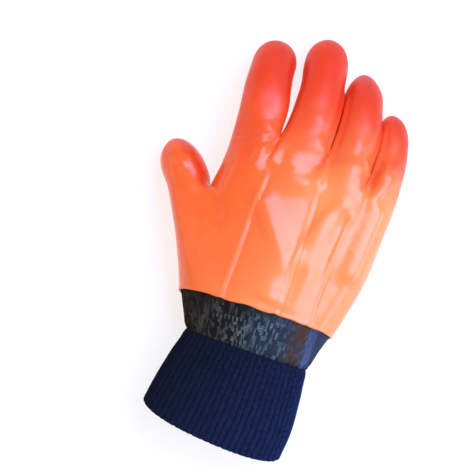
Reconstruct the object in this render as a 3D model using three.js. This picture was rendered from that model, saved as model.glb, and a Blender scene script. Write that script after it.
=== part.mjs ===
// A right-hand chemical-resistant work glove, lying palm down and keeping the shape of the hand former.
// An orange coat makes the hand, a thin dark first dip shows below its hem, and a ribbed knit wrist
// comes out of that. Each is a hollow wall, tucked a little way into the one above it.
// Millimetres. +Z is up, +Y runs to the fingertips and +X to the little finger. The glove rests on z = 0.
import * as THREE from "three";

// Walls, from the outside in.
const COAT_WALL = 2.4; // orange coat with the foamed jersey that is fused to it
const HEM_WALL = 1.3; // the same coat where it laps over the dark dip
const DIP_WALL = 1.2; // dark dip that soaks the knit
const KNIT_WALL = 2.2; // rib knit, valley to inside
const GAP = 0.3; // between one wall and the next that it laps

// The knit wrist's ribs.
const RIBS = 60;
const RIB_DEPTH = 0.9;
const RIB_FADE = 12; // the ribs are half as deep at the dark dip and deepen over this length
const KNIT_RINGS = [14, 22, 32, 43, 55, 64, 68.6]; // along the glove, up to the dark dip
const KNIT_LAP = 3; // rings inside the dark dip

// The section of every sleeve is a rounded oblong: 2 would be an ellipse.
const BACK_SQUARENESS = 2.3;
const PALM_SQUARENESS = 2.7;
const FINGER_SQUARENESS = 2.15;
const CORNER = 0.88; // where the side turns into the back, as a share of the half width
const FINGER_CORNER = 0.72;

// Back of the hand: each panel between two seams is crowned, and the seam between them is a narrow ridge.
const PANEL_CROWN = 0.6;
const SEAM_RIDGE = 0.9;
const SEAM_HALF = 2.2; // half the width of a seam's ridge

const SKIN_FITS = 6; // rounds that pull the smoothed skin onto the tabled sections
const COAT_COLOUR = 0xf4602a;
const DIP_COLOUR = 0x2b2c2c;
const KNIT_COLOUR = 0x1b2348;

// The wrist, from the opening up to the orange hem and a little inside it. left, right, bottom and top are
// the outline; lean lifts the thumb side towards the fingers, and tilt lifts the palm side above the back.
const SLEEVE = [
  { y: 14.0, left: -53.6, right: 43.8, bottom: 0.2, top: 51.0, lean: 9.6, tilt: 14.2 },
  { y: 31.0, left: -50.6, right: 45.8, bottom: 0.6, top: 50.0, lean: 8.0, tilt: 11.0 },
  { y: 50.0, left: -46.4, right: 45.0, bottom: 2.0, top: 48.6, lean: 5.5, tilt: 6.0 },
  { y: 70.0, left: -41.9, right: 43.4, bottom: 3.6, top: 47.4, lean: 2.0, tilt: 0.0 },
  { y: 82.0, left: -46.6, right: 46.4, bottom: 2.8, top: 48.6, lean: 0.0, tilt: -5.5 },
  { y: 94.0, left: -51.9, right: 50.3, bottom: 1.9, top: 50.2, lean: 0.0, tilt: -11.0 },
  { y: 108.0, left: -57.4, right: 54.2, bottom: 1.0, top: 51.6, lean: 0.0, tilt: -9.0 },
];
const DIP_FOOT = 70; // where the dark dip ends and the knit comes out of it
const DIP_MIDDLE = 82;
const HEM = 94; // where the orange coat ends

// The hand above the hem. seam1 to seam3 are the three seams that run down the back from between the fingers.
const PALM = [
  { y: 115, left: -61.3, right: 57.4, bottom: -0.7, top: 52.4, seam1: -24.6, seam2: 12.6, seam3: 32.6 },
  { y: 140, left: -60.0, right: 62.4, bottom: -0.7, top: 53.4, seam1: -23.6, seam2: 13.2, seam3: 33.6 },
  { y: 165, left: -55.0, right: 63.6, bottom: 2.6, top: 53.0, seam1: -22.0, seam2: 13.2, seam3: 35.8 },
  { y: 187, left: -51.8, right: 64.8, bottom: 7.0, top: 51.0, seam1: -21.5, seam2: 13.0, seam3: 38.8 },
];
const HEM_SEAMS = { seam1: -24.6, seam2: 11.6, seam3: 32.4 };
const KNUCKLES = { y: 206, left: -51.7, right: 64.4, bottom: 12.5, top: 47.6 };
const HEM_ROW = 2; // the rings of the hand's cage are counted from the foot of the dark dip
const THUMB_ROWS = [3, 4, 5]; // rings that the thumb's root spans

// The webs between the fingers, at their lowest point.
const WEBS = [
  { x: -21.1, y: 211.4, z: 29.5, high: 10.5 },
  { x: 12.0, y: 208.4, z: 30.0, high: 10.5 },
  { x: 41.6, y: 204.6, z: 27.0, high: 9.0 },
];
const WEB_SLOPE = 5; // the web's back and palm edges lie this much nearer the wrist

// Each finger is a row of sections from its root: centre, half width and half height, then its tip. A section
// stands square to the finger's own line, less the degrees that it turns to meet the side of the hand.
const FINGERS = {
  index: {
    sections: [
      { x: -36.7, y: 222, z: 30.0, wide: 15.8, high: 14.6 },
      { x: -38.4, y: 236, z: 25.8, wide: 15.5, high: 14.2 },
      { x: -39.4, y: 250, z: 18.8, wide: 14.6, high: 13.2 },
      { x: -39.8, y: 262.4, z: 11.2, wide: 12.7, high: 11.0 },
    ],
    tip: [-40.4, 271, 6.6],
  },
  middle: {
    sections: [
      { x: -3.7, y: 222, z: 31.2, wide: 15.5, high: 14.8 },
      { x: -3.7, y: 238, z: 27.2, wide: 14.9, high: 14.4 },
      { x: -5.0, y: 254, z: 20.0, wide: 14.4, high: 13.6 },
      { x: -7.4, y: 271.6, z: 11.4, wide: 13.2, high: 11.4 },
    ],
    tip: [-9.0, 282.6, 6.4],
  },
  ring: {
    sections: [
      { x: 27.5, y: 220, z: 30.4, wide: 13.9, high: 14.0 },
      { x: 26.8, y: 234, z: 26.2, wide: 13.7, high: 13.6 },
      { x: 25.0, y: 247, z: 19.0, wide: 13.0, high: 12.6 },
      { x: 22.6, y: 257.5, z: 11.0, wide: 10.6, high: 10.4 },
    ],
    tip: [20.0, 267.6, 6.4],
  },
  little: {
    sections: [
      { x: 53.3, y: 214, z: 24.6, wide: 10.7, high: 12.4 },
      { x: 52.0, y: 225, z: 20.0, wide: 10.5, high: 11.8 },
      { x: 48.8, y: 237.4, z: 12.4, wide: 9.6, high: 10.4 },
    ],
    tip: [45.8, 247.2, 7.6],
  },
};
const THUMB = {
  sections: [
    { x: -65.6, y: 156.0, z: 22.6, wide: 14.9, high: 15.6, turn: 16 },
    { x: -72.7, y: 167.6, z: 19.0, wide: 14.3, high: 14.6 },
    { x: -82.3, y: 178.4, z: 13.0, wide: 12.2, high: 12.0 },
  ],
  tip: [-88.9, 187.3, 9.8],
};

// Columns round the hand: nine over the back from the thumb side, of which three are seams, then the little
// finger's side, nine back under the palm, and the thumb side last.
const SEAM_COLUMNS = [2, 4, 6];
const LITTLE_SIDE = 9;
const THUMB_SIDE = 19;

// Sections

const mix = (a, b, t) => a + (b - a) * t;

function between(table, y) {
  // The row of a section table at any y, eased between its neighbours.
  const last = table.length - 1;
  const at = table.findIndex((row, i) => i === last || y < table[i + 1].y);
  if (at === last || y <= table[0].y) return { ...table[Math.max(at, 0)], y };
  const [a, b] = [table[at], table[at + 1]];
  const [before, after] = [table[Math.max(at - 1, 0)], table[Math.min(at + 2, last)]];
  const t = (y - a.y) / (b.y - a.y);
  const row = {};
  for (const key of Object.keys(a)) {
    const leaving = ((b[key] - before[key]) / (b.y - before.y)) * (b.y - a.y);
    const arriving = ((after[key] - a[key]) / (after.y - a.y)) * (b.y - a.y);
    const [t2, t3] = [t * t, t * t * t];
    row[key] =
      (2 * t3 - 3 * t2 + 1) * a[key] +
      (t3 - 2 * t2 + t) * leaving +
      (3 * t2 - 2 * t3) * b[key] +
      (t3 - t2) * arriving;
  }
  return { ...row, y };
}

function onSection(section, x, back) {
  // The point of a sleeve's section at x, on the back or on the palm.
  const half = (section.right - section.left) / 2;
  const rise = (section.top - section.bottom) / 2;
  const across = THREE.MathUtils.clamp((x - section.left) / half - 1, -1, 1);
  const power = back ? BACK_SQUARENESS : PALM_SQUARENESS;
  const up = (1 - Math.abs(across) ** power) ** (1 / power) * (back ? 1 : -1);
  const lean = ((section.lean ?? 0) * -across) / 2;
  const tilt = ((section.tilt ?? 0) * -up) / 2;
  return new THREE.Vector3(x, section.y + lean + tilt, (section.top + section.bottom) / 2 + up * rise);
}

function evenRing(line, count) {
  // count points evenly spaced round a closed line, from its first point.
  const path = new THREE.CurvePath();
  line.forEach((point, i) => path.add(new THREE.LineCurve3(point, line[(i + 1) % line.length])));
  return Array.from({ length: count }, (_, i) => path.getPoint(i / count));
}

function roundSection(section, count) {
  // count points evenly spaced round a sleeve's section, from the thumb side over the back.
  const fine = 180;
  const line = Array.from({ length: fine }, (_, i) => {
    const x = mix(section.left, section.right, (1 - Math.cos((2 * Math.PI * i) / fine)) / 2);
    return onSection(section, x, i < fine / 2);
  });
  return evenRing(line, count);
}

function inset(section, by) {
  return {
    ...section,
    left: section.left + by,
    right: section.right - by,
    bottom: section.bottom + by,
    top: section.top - by,
  };
}

// The hand's cage: a coarse net of quads, each point of which says where the smoothed skin has to pass.
// It starts at the foot of the dark dip, so that the orange coat and the dip are two layers of one skin.

class Cage {
  constructor() {
    this.points = [];
    this.quads = []; // corners run anticlockwise seen from outside, the two lower ones first
    this.floors = []; // for each quad the ring that it stands on
  }

  add(point) {
    return this.points.push(point) - 1;
  }

  join(lower, upper, floor, skipped = () => false) {
    // A band of quads between two rings that run the same way round.
    lower.forEach((corner, i) => {
      const next = (i + 1) % lower.length;
      if (!skipped(i)) this.face([corner, lower[next], upper[next], upper[i]], floor);
    });
  }

  face(quad, floor) {
    this.quads.push(quad);
    this.floors.push(floor);
  }

  cap([backLeft, back, backRight, right, palmRight, palm, palmLeft, left], tip, floor) {
    const middle = this.add(tip);
    this.face([left, backLeft, back, middle], floor);
    this.face([middle, back, backRight, right], floor);
    this.face([palm, middle, right, palmRight], floor);
    this.face([palmLeft, left, middle, palm], floor);
  }
}

function handColumns(section, seams) {
  // x of the nine columns over the back, from the thumb side.
  const half = (section.right - section.left) / 2;
  const centre = (section.right + section.left) / 2;
  const edges = [centre - CORNER * half, seams.seam1, seams.seam2, seams.seam3, centre + CORNER * half];
  return edges.flatMap((edge, i) => (i < 4 ? [edge, (edge + edges[i + 1]) / 2] : [edge]));
}

function handRing(cage, section, seams, crown) {
  const columns = handColumns(section, seams);
  const back = columns.map((x, i) => {
    const point = onSection(section, x, true);
    point.z += SEAM_COLUMNS.includes(i) ? -crown : crown;
    return point;
  });
  const palm = columns.map((x) => onSection(section, x, false)).reverse();
  const [little, thumb] = [section.right, section.left].map((x) => onSection(section, x, true));
  return [...back, little, ...palm, thumb].map((point) => cage.add(point));
}

function knuckleRing(cage) {
  // The last ring of the hand, whose seam columns are the back and palm edges of the webs.
  const seams = { seam1: WEBS[0].x, seam2: WEBS[1].x, seam3: WEBS[2].x };
  const ring = handRing(cage, KNUCKLES, seams, PANEL_CROWN);
  WEBS.forEach((web, i) => {
    const [back, palm] = [SEAM_COLUMNS[i], THUMB_SIDE - 1 - SEAM_COLUMNS[i]];
    cage.points[ring[back]].set(web.x, web.y - WEB_SLOPE, web.z + web.high);
    cage.points[ring[palm]].set(web.x, web.y - WEB_SLOPE, web.z - web.high);
  });
  const webs = WEBS.map((web) => cage.add(new THREE.Vector3(web.x, web.y, web.z)));
  return { ring, webs };
}

function growDigit(cage, root, digit, floor) {
  // Rings of eight from a root ring to a capped tip, each square to the digit's own line.
  const corner = (1 - FINGER_CORNER ** FINGER_SQUARENESS) ** (1 / FINGER_SQUARENESS);
  const round = [
    [-FINGER_CORNER, corner],
    [0, 1],
    [FINGER_CORNER, corner],
    [1, 0],
    [FINGER_CORNER, -corner],
    [0, -1],
    [-FINGER_CORNER, -corner],
    [-1, 0],
  ];
  const centres = digit.sections.map(({ x, y, z }) => new THREE.Vector3(x, y, z));
  const tip = new THREE.Vector3(...digit.tip);
  let lower = root;
  const zenith = new THREE.Vector3(0, 0, 1);
  digit.sections.forEach(({ wide, high, turn = 0 }, i) => {
    const from = centres[Math.max(i - 1, 0)];
    const along = (centres[i + 1] ?? tip).clone().sub(from).normalize();
    along.applyAxisAngle(zenith, THREE.MathUtils.degToRad(turn));
    const right = new THREE.Vector3().crossVectors(along, zenith).normalize();
    const up = new THREE.Vector3().crossVectors(right, along);
    const ring = round.map(([across, rise]) =>
      cage.add(centres[i].clone().addScaledVector(right, across * wide).addScaledVector(up, rise * high)),
    );
    cage.join(lower, ring, floor);
    lower = ring;
  });
  cage.cap(lower, tip, floor);
}

function handCage() {
  const cage = new Cage();
  const rows = [DIP_FOOT, DIP_MIDDLE, HEM].map((y) => {
    const section = inset(between(SLEEVE, y), -(HEM_WALL + GAP));
    return handRing(cage, section, HEM_SEAMS, 0);
  });
  for (const section of PALM) rows.push(handRing(cage, section, section, PANEL_CROWN));
  const { ring, webs } = knuckleRing(cage);
  rows.push(ring);

  const [first, middle, last] = THUMB_ROWS;
  for (let i = 1; i < rows.length; i++) {
    const thumbRoot = (column) => i > first && i <= last && column >= THUMB_SIDE - 1;
    cage.join(rows[i - 1], rows[i], i - 1, thumbRoot);
  }
  const palmSide = THUMB_SIDE - 1;
  const thumbRing = [
    rows[first][0],
    rows[middle][0],
    rows[last][0],
    rows[last][THUMB_SIDE],
    rows[last][palmSide],
    rows[middle][palmSide],
    rows[first][palmSide],
    rows[first][THUMB_SIDE],
  ];
  growDigit(cage, thumbRing, THUMB, first);

  Object.values(FINGERS).forEach((finger, i) => {
    const back = ring.slice(2 * i, 2 * i + 3);
    const palm = ring.slice(palmSide - 2 - 2 * i, palmSide + 1 - 2 * i);
    const right = webs[i] ?? ring[LITTLE_SIDE];
    const left = webs[i - 1] ?? ring[THUMB_SIDE];
    growDigit(cage, [...back, right, ...palm, left], finger, rows.length);
  });
  const seams = SEAM_COLUMNS.map((column) => rows.map((row) => row[column]));
  return withoutLoosePoints({ ...cage, seams });
}

function withoutLoosePoints({ points, quads, floors, seams }) {
  // Leaves out the point inside the thumb's root, which no quad uses.
  const kept = [...new Set(quads.flat())].sort((a, b) => a - b);
  const place = new Map(kept.map((point, i) => [point, i]));
  const placed = (line) => line.map((i) => place.get(i));
  return { points: kept.map((i) => points[i]), quads: quads.map(placed), floors, seams: seams.map(placed) };
}

// Smoothing

function neighbours({ points, quads }) {
  // For each point its edges, with the quads on them, and the corners across its quads.
  const around = points.map(() => ({ edges: new Map(), across: [] }));
  quads.forEach((quad, face) => {
    quad.forEach((point, i) => {
      const { edges, across } = around[point];
      for (const other of [quad[(i + 1) % 4], quad[(i + 3) % 4]]) {
        edges.set(other, [...(edges.get(other) ?? []), face]);
      }
      across.push(quad[(i + 2) % 4]);
    });
  });
  return around;
}

const sum = (vectors) => vectors.reduce((total, v) => total.add(v), new THREE.Vector3());

function rimEnds(edges) {
  // The ends of a point's open edges; a point inside the net has none.
  return [...edges].filter(([, faces]) => faces.length === 1).map(([other]) => other);
}

function rested({ points }, around) {
  // Where each point of the net comes to rest on the smooth skin.
  return points.map((point, i) => {
    const { edges, across } = around[i];
    const rim = rimEnds(edges).map((other) => points[other]);
    if (rim.length) return sum([point.clone().multiplyScalar(4), ...rim]).divideScalar(6);
    const n = edges.size;
    const near = sum([...edges.keys()].map((other) => points[other]));
    const far = sum(across.map((other) => points[other]));
    return near.multiplyScalar(4).add(far).addScaledVector(point, n * n).divideScalar(n * (n + 5));
  });
}

function fitted(cage) {
  // Moves the cage out until the smooth skin passes through the points that it was given.
  const around = neighbours(cage);
  const points = cage.points.map((point) => point.clone());
  for (let round = 0; round < SKIN_FITS; round++) {
    const skin = rested({ points }, around);
    points.forEach((point, i) => point.add(cage.points[i]).sub(skin[i]));
  }
  return { ...cage, points };
}

function halved({ points, quads, floors, seams }) {
  // One round of smoothing that cuts each quad in four.
  const around = neighbours({ points, quads });
  const faces = quads.map((quad) => sum(quad.map((i) => points[i])).divideScalar(4));
  const made = points.map((point, i) => {
    const { edges } = around[i];
    const rim = rimEnds(edges).map((other) => points[other]);
    if (rim.length) return sum([point.clone().multiplyScalar(6), ...rim]).divideScalar(8);
    const n = edges.size;
    const touching = [...new Set([...edges.values()].flat())];
    const near = sum([...edges.keys()].map((other) => points[other]));
    const onFaces = sum(touching.map((face) => faces[face]));
    return near.add(onFaces).divideScalar(n * n).addScaledVector(point, (n - 2) / n);
  });
  const middles = new Map();
  const middleOf = (a, b) => {
    const key = [Math.min(a, b), Math.max(a, b)].join();
    if (!middles.has(key)) {
      const on = around[a].edges.get(b).map((face) => faces[face]);
      const ends = [points[a], points[b]];
      const point = on.length === 1 ? sum(ends).divideScalar(2) : sum([...ends, ...on]).divideScalar(4);
      middles.set(key, made.push(point) - 1);
    }
    return middles.get(key);
  };
  const smaller = { points: made, quads: [], floors: [], seams: [] };
  quads.forEach((quad, face) => {
    const centre = made.push(faces[face]) - 1;
    quad.forEach((corner, i) => {
      const [after, before] = [middleOf(corner, quad[(i + 1) % 4]), middleOf(quad[(i + 3) % 4], corner)];
      const part = [corner, after, centre, before];
      smaller.quads.push([...part.slice(4 - i), ...part.slice(0, 4 - i)]);
      smaller.floors.push(2 * floors[face] + (i < 2 ? 0 : 1));
    });
  });
  smaller.seams = seams.map((seam) =>
    seam.flatMap((point, i) => (i + 1 < seam.length ? [point, middleOf(point, seam[i + 1])] : [point])),
  );
  return smaller;
}

// Walls

function outwards(points, quads) {
  // The outward direction at each point, from the quads round it.
  const normals = points.map(() => new THREE.Vector3());
  for (const [a, b, c, d] of quads) {
    const diagonal = points[c].clone().sub(points[a]);
    const out = diagonal.cross(points[d].clone().sub(points[b]));
    for (const corner of [a, b, c, d]) normals[corner].add(out);
  }
  return normals.map((normal) => normal.normalize());
}

function rimOf(quads) {
  // The open edges of a net, each as its two ends in the order of its quad.
  const sides = quads.flatMap((quad) => quad.map((a, i) => [a, quad[(i + 1) % 4]]));
  const seen = new Set(sides.map(([a, b]) => `${a},${b}`));
  return sides.filter(([a, b]) => !seen.has(`${b},${a}`));
}

function wallSolid(outer, inner, quads) {
  // A closed wall between two nets of the same quads, joined along their open edges.
  const used = [...new Set(quads.flat())];
  const place = new Map(used.map((point, i) => [point, i]));
  const points = [...used.map((i) => outer[i]), ...used.map((i) => inner[i])];
  const count = used.length;
  const skin = quads.map((quad) => quad.map((i) => place.get(i)));
  const lining = skin.map((quad) => quad.map((i) => i + count).reverse());
  const rims = rimOf(skin).map(([a, b]) => [b, a, a + count, b + count]);
  const triangles = [...skin, ...lining, ...rims].flatMap(([a, b, c, d]) => {
    const short = points[a].distanceToSquared(points[c]) <= points[b].distanceToSquared(points[d]);
    return short ? [a, b, c, a, c, d] : [a, b, d, b, c, d];
  });
  const geometry = new THREE.BufferGeometry();
  const places = points.flatMap((point) => point.toArray());
  geometry.setAttribute("position", new THREE.Float32BufferAttribute(places, 3));
  geometry.setIndex(triangles);
  return geometry;
}

// The skin of the hand, smoothed once, that the orange coat and the dark dip are layers of

function gatherToSeams({ quads, points, seams }) {
  // The points beside each seam slide towards it, so that its ridge is narrow.
  const around = neighbours({ points, quads });
  for (const seam of seams) {
    for (const point of seam.slice(0, -1)) {
      const beside = [...around[point].edges.keys()].filter((other) => !seam.includes(other));
      for (const other of beside) {
        const away = points[other].distanceTo(points[point]);
        if (away > SEAM_HALF) points[other].lerp(points[point], 1 - SEAM_HALF / away);
      }
    }
  }
}

function raisedSeams({ points, seams }) {
  const raised = points.map((point) => point.clone());
  for (const seam of seams) {
    for (const point of seam.slice(0, -1)) raised[point].z += SEAM_RIDGE;
  }
  return raised;
}

function handSkin() {
  const net = halved(fitted(handCage()));
  const skin = { ...net, points: rested(net, neighbours(net)) };
  gatherToSeams(skin);
  for (const point of skin.points) point.z = Math.max(point.z, 0);
  const normals = outwards(skin.points, skin.quads);
  const under = (depths) => skin.points.map((p, i) => p.clone().addScaledVector(normals[i], -depths[i]));
  return { ...skin, under };
}

function standingOn(skin, from, to) {
  // The quads between two rings of the skin, counted in half rings of the cage.
  return skin.quads.filter((_, face) => skin.floors[face] >= from && skin.floors[face] < to);
}

// The three pieces

function coatGeometry(skin) {
  const quads = standingOn(skin, 2 * HEM_ROW, Infinity);
  const lapped = new Set(standingOn(skin, 2 * HEM_ROW, 2 * HEM_ROW + 1).flat());
  const walls = skin.points.map((_, i) => (lapped.has(i) ? HEM_WALL : COAT_WALL));
  return wallSolid(raisedSeams(skin), skin.under(walls), quads);
}

function dipGeometry(skin) {
  const quads = standingOn(skin, 0, 2 * HEM_ROW + 1);
  const outside = skin.points.map(() => HEM_WALL + GAP);
  const inside = outside.map((depth) => depth + DIP_WALL);
  return wallSolid(skin.under(outside), skin.under(inside), quads);
}

function ringsFromFoot({ points, quads }, count) {
  // The lowest rings of the skin, each from the thumb side over the back.
  const beside = new Map(quads.map(([low, lowNext]) => [low, lowNext]));
  const above = new Map(quads.map(([low, , , high]) => [low, high]));
  const foot = rimOf(quads).map(([low]) => low);
  const ring = [foot.reduce((least, point) => (points[point].x < points[least].x ? point : least))];
  while (ring.length < foot.length) ring.push(beside.get(ring.at(-1)));
  const rings = [ring];
  while (rings.length < count) rings.push(rings.at(-1).map((point) => above.get(point)));
  return rings;
}

function knitGeometry(skin) {
  // Ribbed rings from the opening up to the dark dip, then plain ones inside it.
  const shown = KNIT_RINGS.map((y) => {
    const deepening = mix(0.5, 1, THREE.MathUtils.smoothstep(DIP_FOOT - y, 0, RIB_FADE));
    const section = between(SLEEVE, y);
    const valley = inset(section, RIB_DEPTH * deepening);
    const crests = roundSection(section, 2 * RIBS);
    const outer = roundSection(valley, 2 * RIBS).map((point, i) => (i % 2 ? crests[i] : point));
    return { outer, inner: roundSection(inset(valley, KNIT_WALL), 2 * RIBS) };
  });
  const depth = HEM_WALL + GAP + DIP_WALL + GAP;
  const [face, back] = [depth, depth + KNIT_WALL].map((under) => skin.under(skin.points.map(() => under)));
  const hidden = ringsFromFoot(skin, KNIT_LAP).map((ring) => {
    const [outer, inner] = [face, back].map((points) => ring.map((i) => points[i]));
    return { outer: evenRing(outer, 2 * RIBS), inner: evenRing(inner, 2 * RIBS) };
  });
  const rings = [...shown, ...hidden];
  const quads = [];
  for (let row = 1; row < rings.length; row++) {
    const [low, high] = [(row - 1) * 2 * RIBS, row * 2 * RIBS];
    for (let i = 0; i < 2 * RIBS; i++) {
      const next = (i + 1) % (2 * RIBS);
      quads.push([low + i, low + next, high + next, high + i]);
    }
  }
  const [outer, inner] = [rings.flatMap((ring) => ring.outer), rings.flatMap((ring) => ring.inner)];
  return wallSolid(outer, inner, quads);
}

function piece(name, geometry, color, roughness) {
  const material = new THREE.MeshStandardMaterial({ color, roughness, metalness: 0, flatShading: true });
  const mesh = new THREE.Mesh(geometry, material);
  mesh.name = name;
  return mesh;
}

const skin = handSkin();
const glove = new THREE.Group();
glove.add(
  piece("orange_coat", coatGeometry(skin), COAT_COLOUR, 0.3),
  piece("dark_dip_band", dipGeometry(skin), DIP_COLOUR, 0.45),
  piece("knit_wrist", knitGeometry(skin), KNIT_COLOUR, 0.95),
);

// The origin is under the middle of the glove, on the surface that it lies on.
const box = new THREE.Box3().setFromObject(glove, true);
const middle = box.getCenter(new THREE.Vector3());
glove.position.set(-middle.x, -middle.y, -box.min.z);

export default glove;
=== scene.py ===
"""A right-hand chemical-resistant work glove, lying palm down as it came off its hand former.

An orange PVC coat makes the hand, a thin dark first dip shows below its hem and a navy rib-knit wrist comes
out of that. Coat and dip are layers of one smooth skin, which is drawn through tabled sections. Sizes are in
millimetres until a mesh is made, and the tables keep the glove's own measuring frame: X 0 is the middle of
the hand, Y 0 lies just below the cuff and +Y runs to the fingertips.
"""

from __future__ import annotations

import logging
import math
from collections.abc import Iterable, Sequence
from dataclasses import dataclass, field, replace
from enum import Enum
from typing import Any

import bpy
import numpy as np
from mathutils import Matrix, Vector, noise
from mathutils.bvhtree import BVHTree


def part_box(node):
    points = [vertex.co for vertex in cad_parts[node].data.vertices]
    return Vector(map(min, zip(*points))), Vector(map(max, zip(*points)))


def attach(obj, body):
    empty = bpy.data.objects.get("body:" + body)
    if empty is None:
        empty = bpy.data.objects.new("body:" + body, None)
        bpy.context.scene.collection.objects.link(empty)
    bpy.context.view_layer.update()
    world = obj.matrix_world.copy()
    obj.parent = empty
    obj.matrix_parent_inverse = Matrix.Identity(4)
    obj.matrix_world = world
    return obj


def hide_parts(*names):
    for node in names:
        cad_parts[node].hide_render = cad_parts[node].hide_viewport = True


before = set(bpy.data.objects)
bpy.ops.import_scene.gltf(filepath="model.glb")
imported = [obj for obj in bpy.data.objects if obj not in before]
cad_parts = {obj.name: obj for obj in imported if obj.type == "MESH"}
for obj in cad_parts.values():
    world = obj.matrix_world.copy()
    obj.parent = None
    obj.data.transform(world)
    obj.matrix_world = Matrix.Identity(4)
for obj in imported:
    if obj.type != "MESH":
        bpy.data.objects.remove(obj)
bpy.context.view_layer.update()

Array = np.ndarray
MM = 0.001
log = logging.getLogger("glove")


class Slot(Enum):
    """The record's material slots."""

    COAT = "orange_coat"
    DIP = "dark_dip"
    KNIT = "rib_knit"


# Sections

HEM_SEAMS = (-24.6, 11.6, 32.4)
BACK_SQUARENESS = 2.3  # of a section's outline, where 2 would be an ellipse
PALM_SQUARENESS = 2.7
FINGER_SQUARENESS = 2.15
CORNER = 0.88  # where the side turns into the back, as a share of the half width
FINGER_CORNER = 0.72
PANEL_CROWN = 0.6
HEM_WALL = 1.3
COAT_WALL = 2.4
DIP_WALL = 1.2
KNIT_WALL = 2.2
LAP_GAP = 0.3
GOLDEN = 0.618  # the share of a turn from one rib to the next, so that no two near ones are alike


@dataclass(frozen=True)
class Section:
    """A cross-section of the wrist or hand: a rounded oblong.

    The sides are its outline, lean lifts the thumb side towards the fingers and tilt lifts the palm side
    above the back. The seams are where the three seams cross it.
    """

    y: float
    left: float
    right: float
    bottom: float
    top: float
    lean: float = 0.0
    tilt: float = 0.0
    seams: tuple[float, float, float] = HEM_SEAMS

    def numbers(self) -> Array:
        """Returns the section as one row of numbers."""
        sides = (self.left, self.right, self.bottom, self.top)
        return np.array([self.y, *sides, self.lean, self.tilt, *self.seams])

    def grown(self, by: float) -> Section:
        """Returns the section with its outline moved out."""
        left, right = self.left - by, self.right + by
        return replace(self, left=left, right=right, bottom=self.bottom - by, top=self.top + by)


@dataclass(frozen=True)
class Ring:
    """A round section of a finger: its centre, half width and half height, and how far it is turned."""

    x: float
    y: float
    z: float
    wide: float
    high: float
    turn: float = 0.0


@dataclass(frozen=True)
class Digit:
    """A finger or the thumb: its rings from the root, and its tip."""

    rings: tuple[Ring, ...]
    tip: tuple[float, float, float]


@dataclass(frozen=True)
class Web:
    """The lowest point of the web between two fingers, and half its height."""

    x: float
    y: float
    z: float
    high: float


DIP_FOOT = 70.0
DIP_MIDDLE = 82.0
HEM = 94.0
SLEEVE = (
    Section(14.0, -53.6, 43.8, 0.2, 51.0, 9.6, 14.2),
    Section(31.0, -50.6, 45.8, 0.6, 50.0, 8.0, 11.0),
    Section(50.0, -46.4, 45.0, 2.0, 48.6, 5.5, 6.0),
    Section(DIP_FOOT, -41.9, 43.4, 3.6, 47.4, 2.0, 0.0),
    Section(DIP_MIDDLE, -46.6, 46.4, 2.8, 48.6, 0.0, -5.5),
    Section(HEM, -51.9, 50.3, 1.9, 50.2, 0.0, -11.0),
    Section(108.0, -57.4, 54.2, 1.0, 51.6, 0.0, -9.0),
)
PALM = (
    Section(115.0, -61.3, 57.4, -0.7, 52.4, seams=(-24.6, 12.6, 32.6)),
    Section(140.0, -60.0, 62.4, -0.7, 53.4, seams=(-23.6, 13.2, 33.6)),
    Section(165.0, -55.0, 63.6, 2.6, 53.0, seams=(-22.0, 13.2, 35.8)),
    Section(187.0, -51.8, 64.8, 7.0, 51.0, seams=(-21.5, 13.0, 38.8)),
)
WEBS = (Web(-21.1, 211.4, 29.5, 10.5), Web(12.0, 208.4, 30.0, 10.5), Web(41.6, 204.6, 27.0, 9.0))
WEB_SLOPE = 5.0
KNUCKLES = Section(206.0, -51.7, 64.4, 12.5, 47.6, seams=(WEBS[0].x, WEBS[1].x, WEBS[2].x))
INDEX = Digit(
    (
        Ring(-36.7, 222.0, 30.0, 15.8, 14.6),
        Ring(-38.4, 236.0, 25.8, 15.5, 14.2),
        Ring(-39.4, 250.0, 18.8, 14.6, 13.2),
        Ring(-39.8, 262.4, 11.2, 12.7, 11.0),
    ),
    (-40.4, 271.0, 6.6),
)
MIDDLE = Digit(
    (
        Ring(-3.7, 222.0, 31.2, 15.5, 14.8),
        Ring(-3.7, 238.0, 27.2, 14.9, 14.4),
        Ring(-5.0, 254.0, 20.0, 14.4, 13.6),
        Ring(-7.4, 271.6, 11.4, 13.2, 11.4),
    ),
    (-9.0, 282.6, 6.4),
)
RING_FINGER = Digit(
    (
        Ring(27.5, 220.0, 30.4, 13.9, 14.0),
        Ring(26.8, 234.0, 26.2, 13.7, 13.6),
        Ring(25.0, 247.0, 19.0, 13.0, 12.6),
        Ring(22.6, 257.5, 11.0, 10.6, 10.4),
    ),
    (20.0, 267.6, 6.4),
)
LITTLE = Digit(
    (
        Ring(53.3, 214.0, 24.6, 10.7, 12.4),
        Ring(52.0, 225.0, 20.0, 10.5, 11.8),
        Ring(48.8, 237.4, 12.4, 9.6, 10.4),
    ),
    (45.8, 247.2, 7.6),
)
THUMB = Digit(
    (
        Ring(-65.6, 156.0, 22.6, 14.9, 15.6, turn=16.0),
        Ring(-72.7, 167.6, 19.0, 14.3, 14.6),
        Ring(-82.3, 178.4, 13.0, 12.2, 12.0),
    ),
    (-88.9, 187.3, 9.8),
)
FINGERS = (INDEX, MIDDLE, RING_FINGER, LITTLE)

# Rings and columns of the hand's cage. A ring has nine columns over the back from the thumb side, of which
# three are seams, then the little finger's side, nine back under the palm, and the thumb side last.
HEM_ROW = 2
LAP_ROW = HEM_ROW + 0.5
THUMB_ROWS = (3, 4, 5)
SEAM_COLUMNS = (2, 4, 6)
LITTLE_SIDE = 9
PALM_SIDE = 18
THUMB_SIDE = 19
SKIN_FITS = 6
OUTLINE_STEPS = 180  # round a section, before its points are spaced evenly


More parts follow.
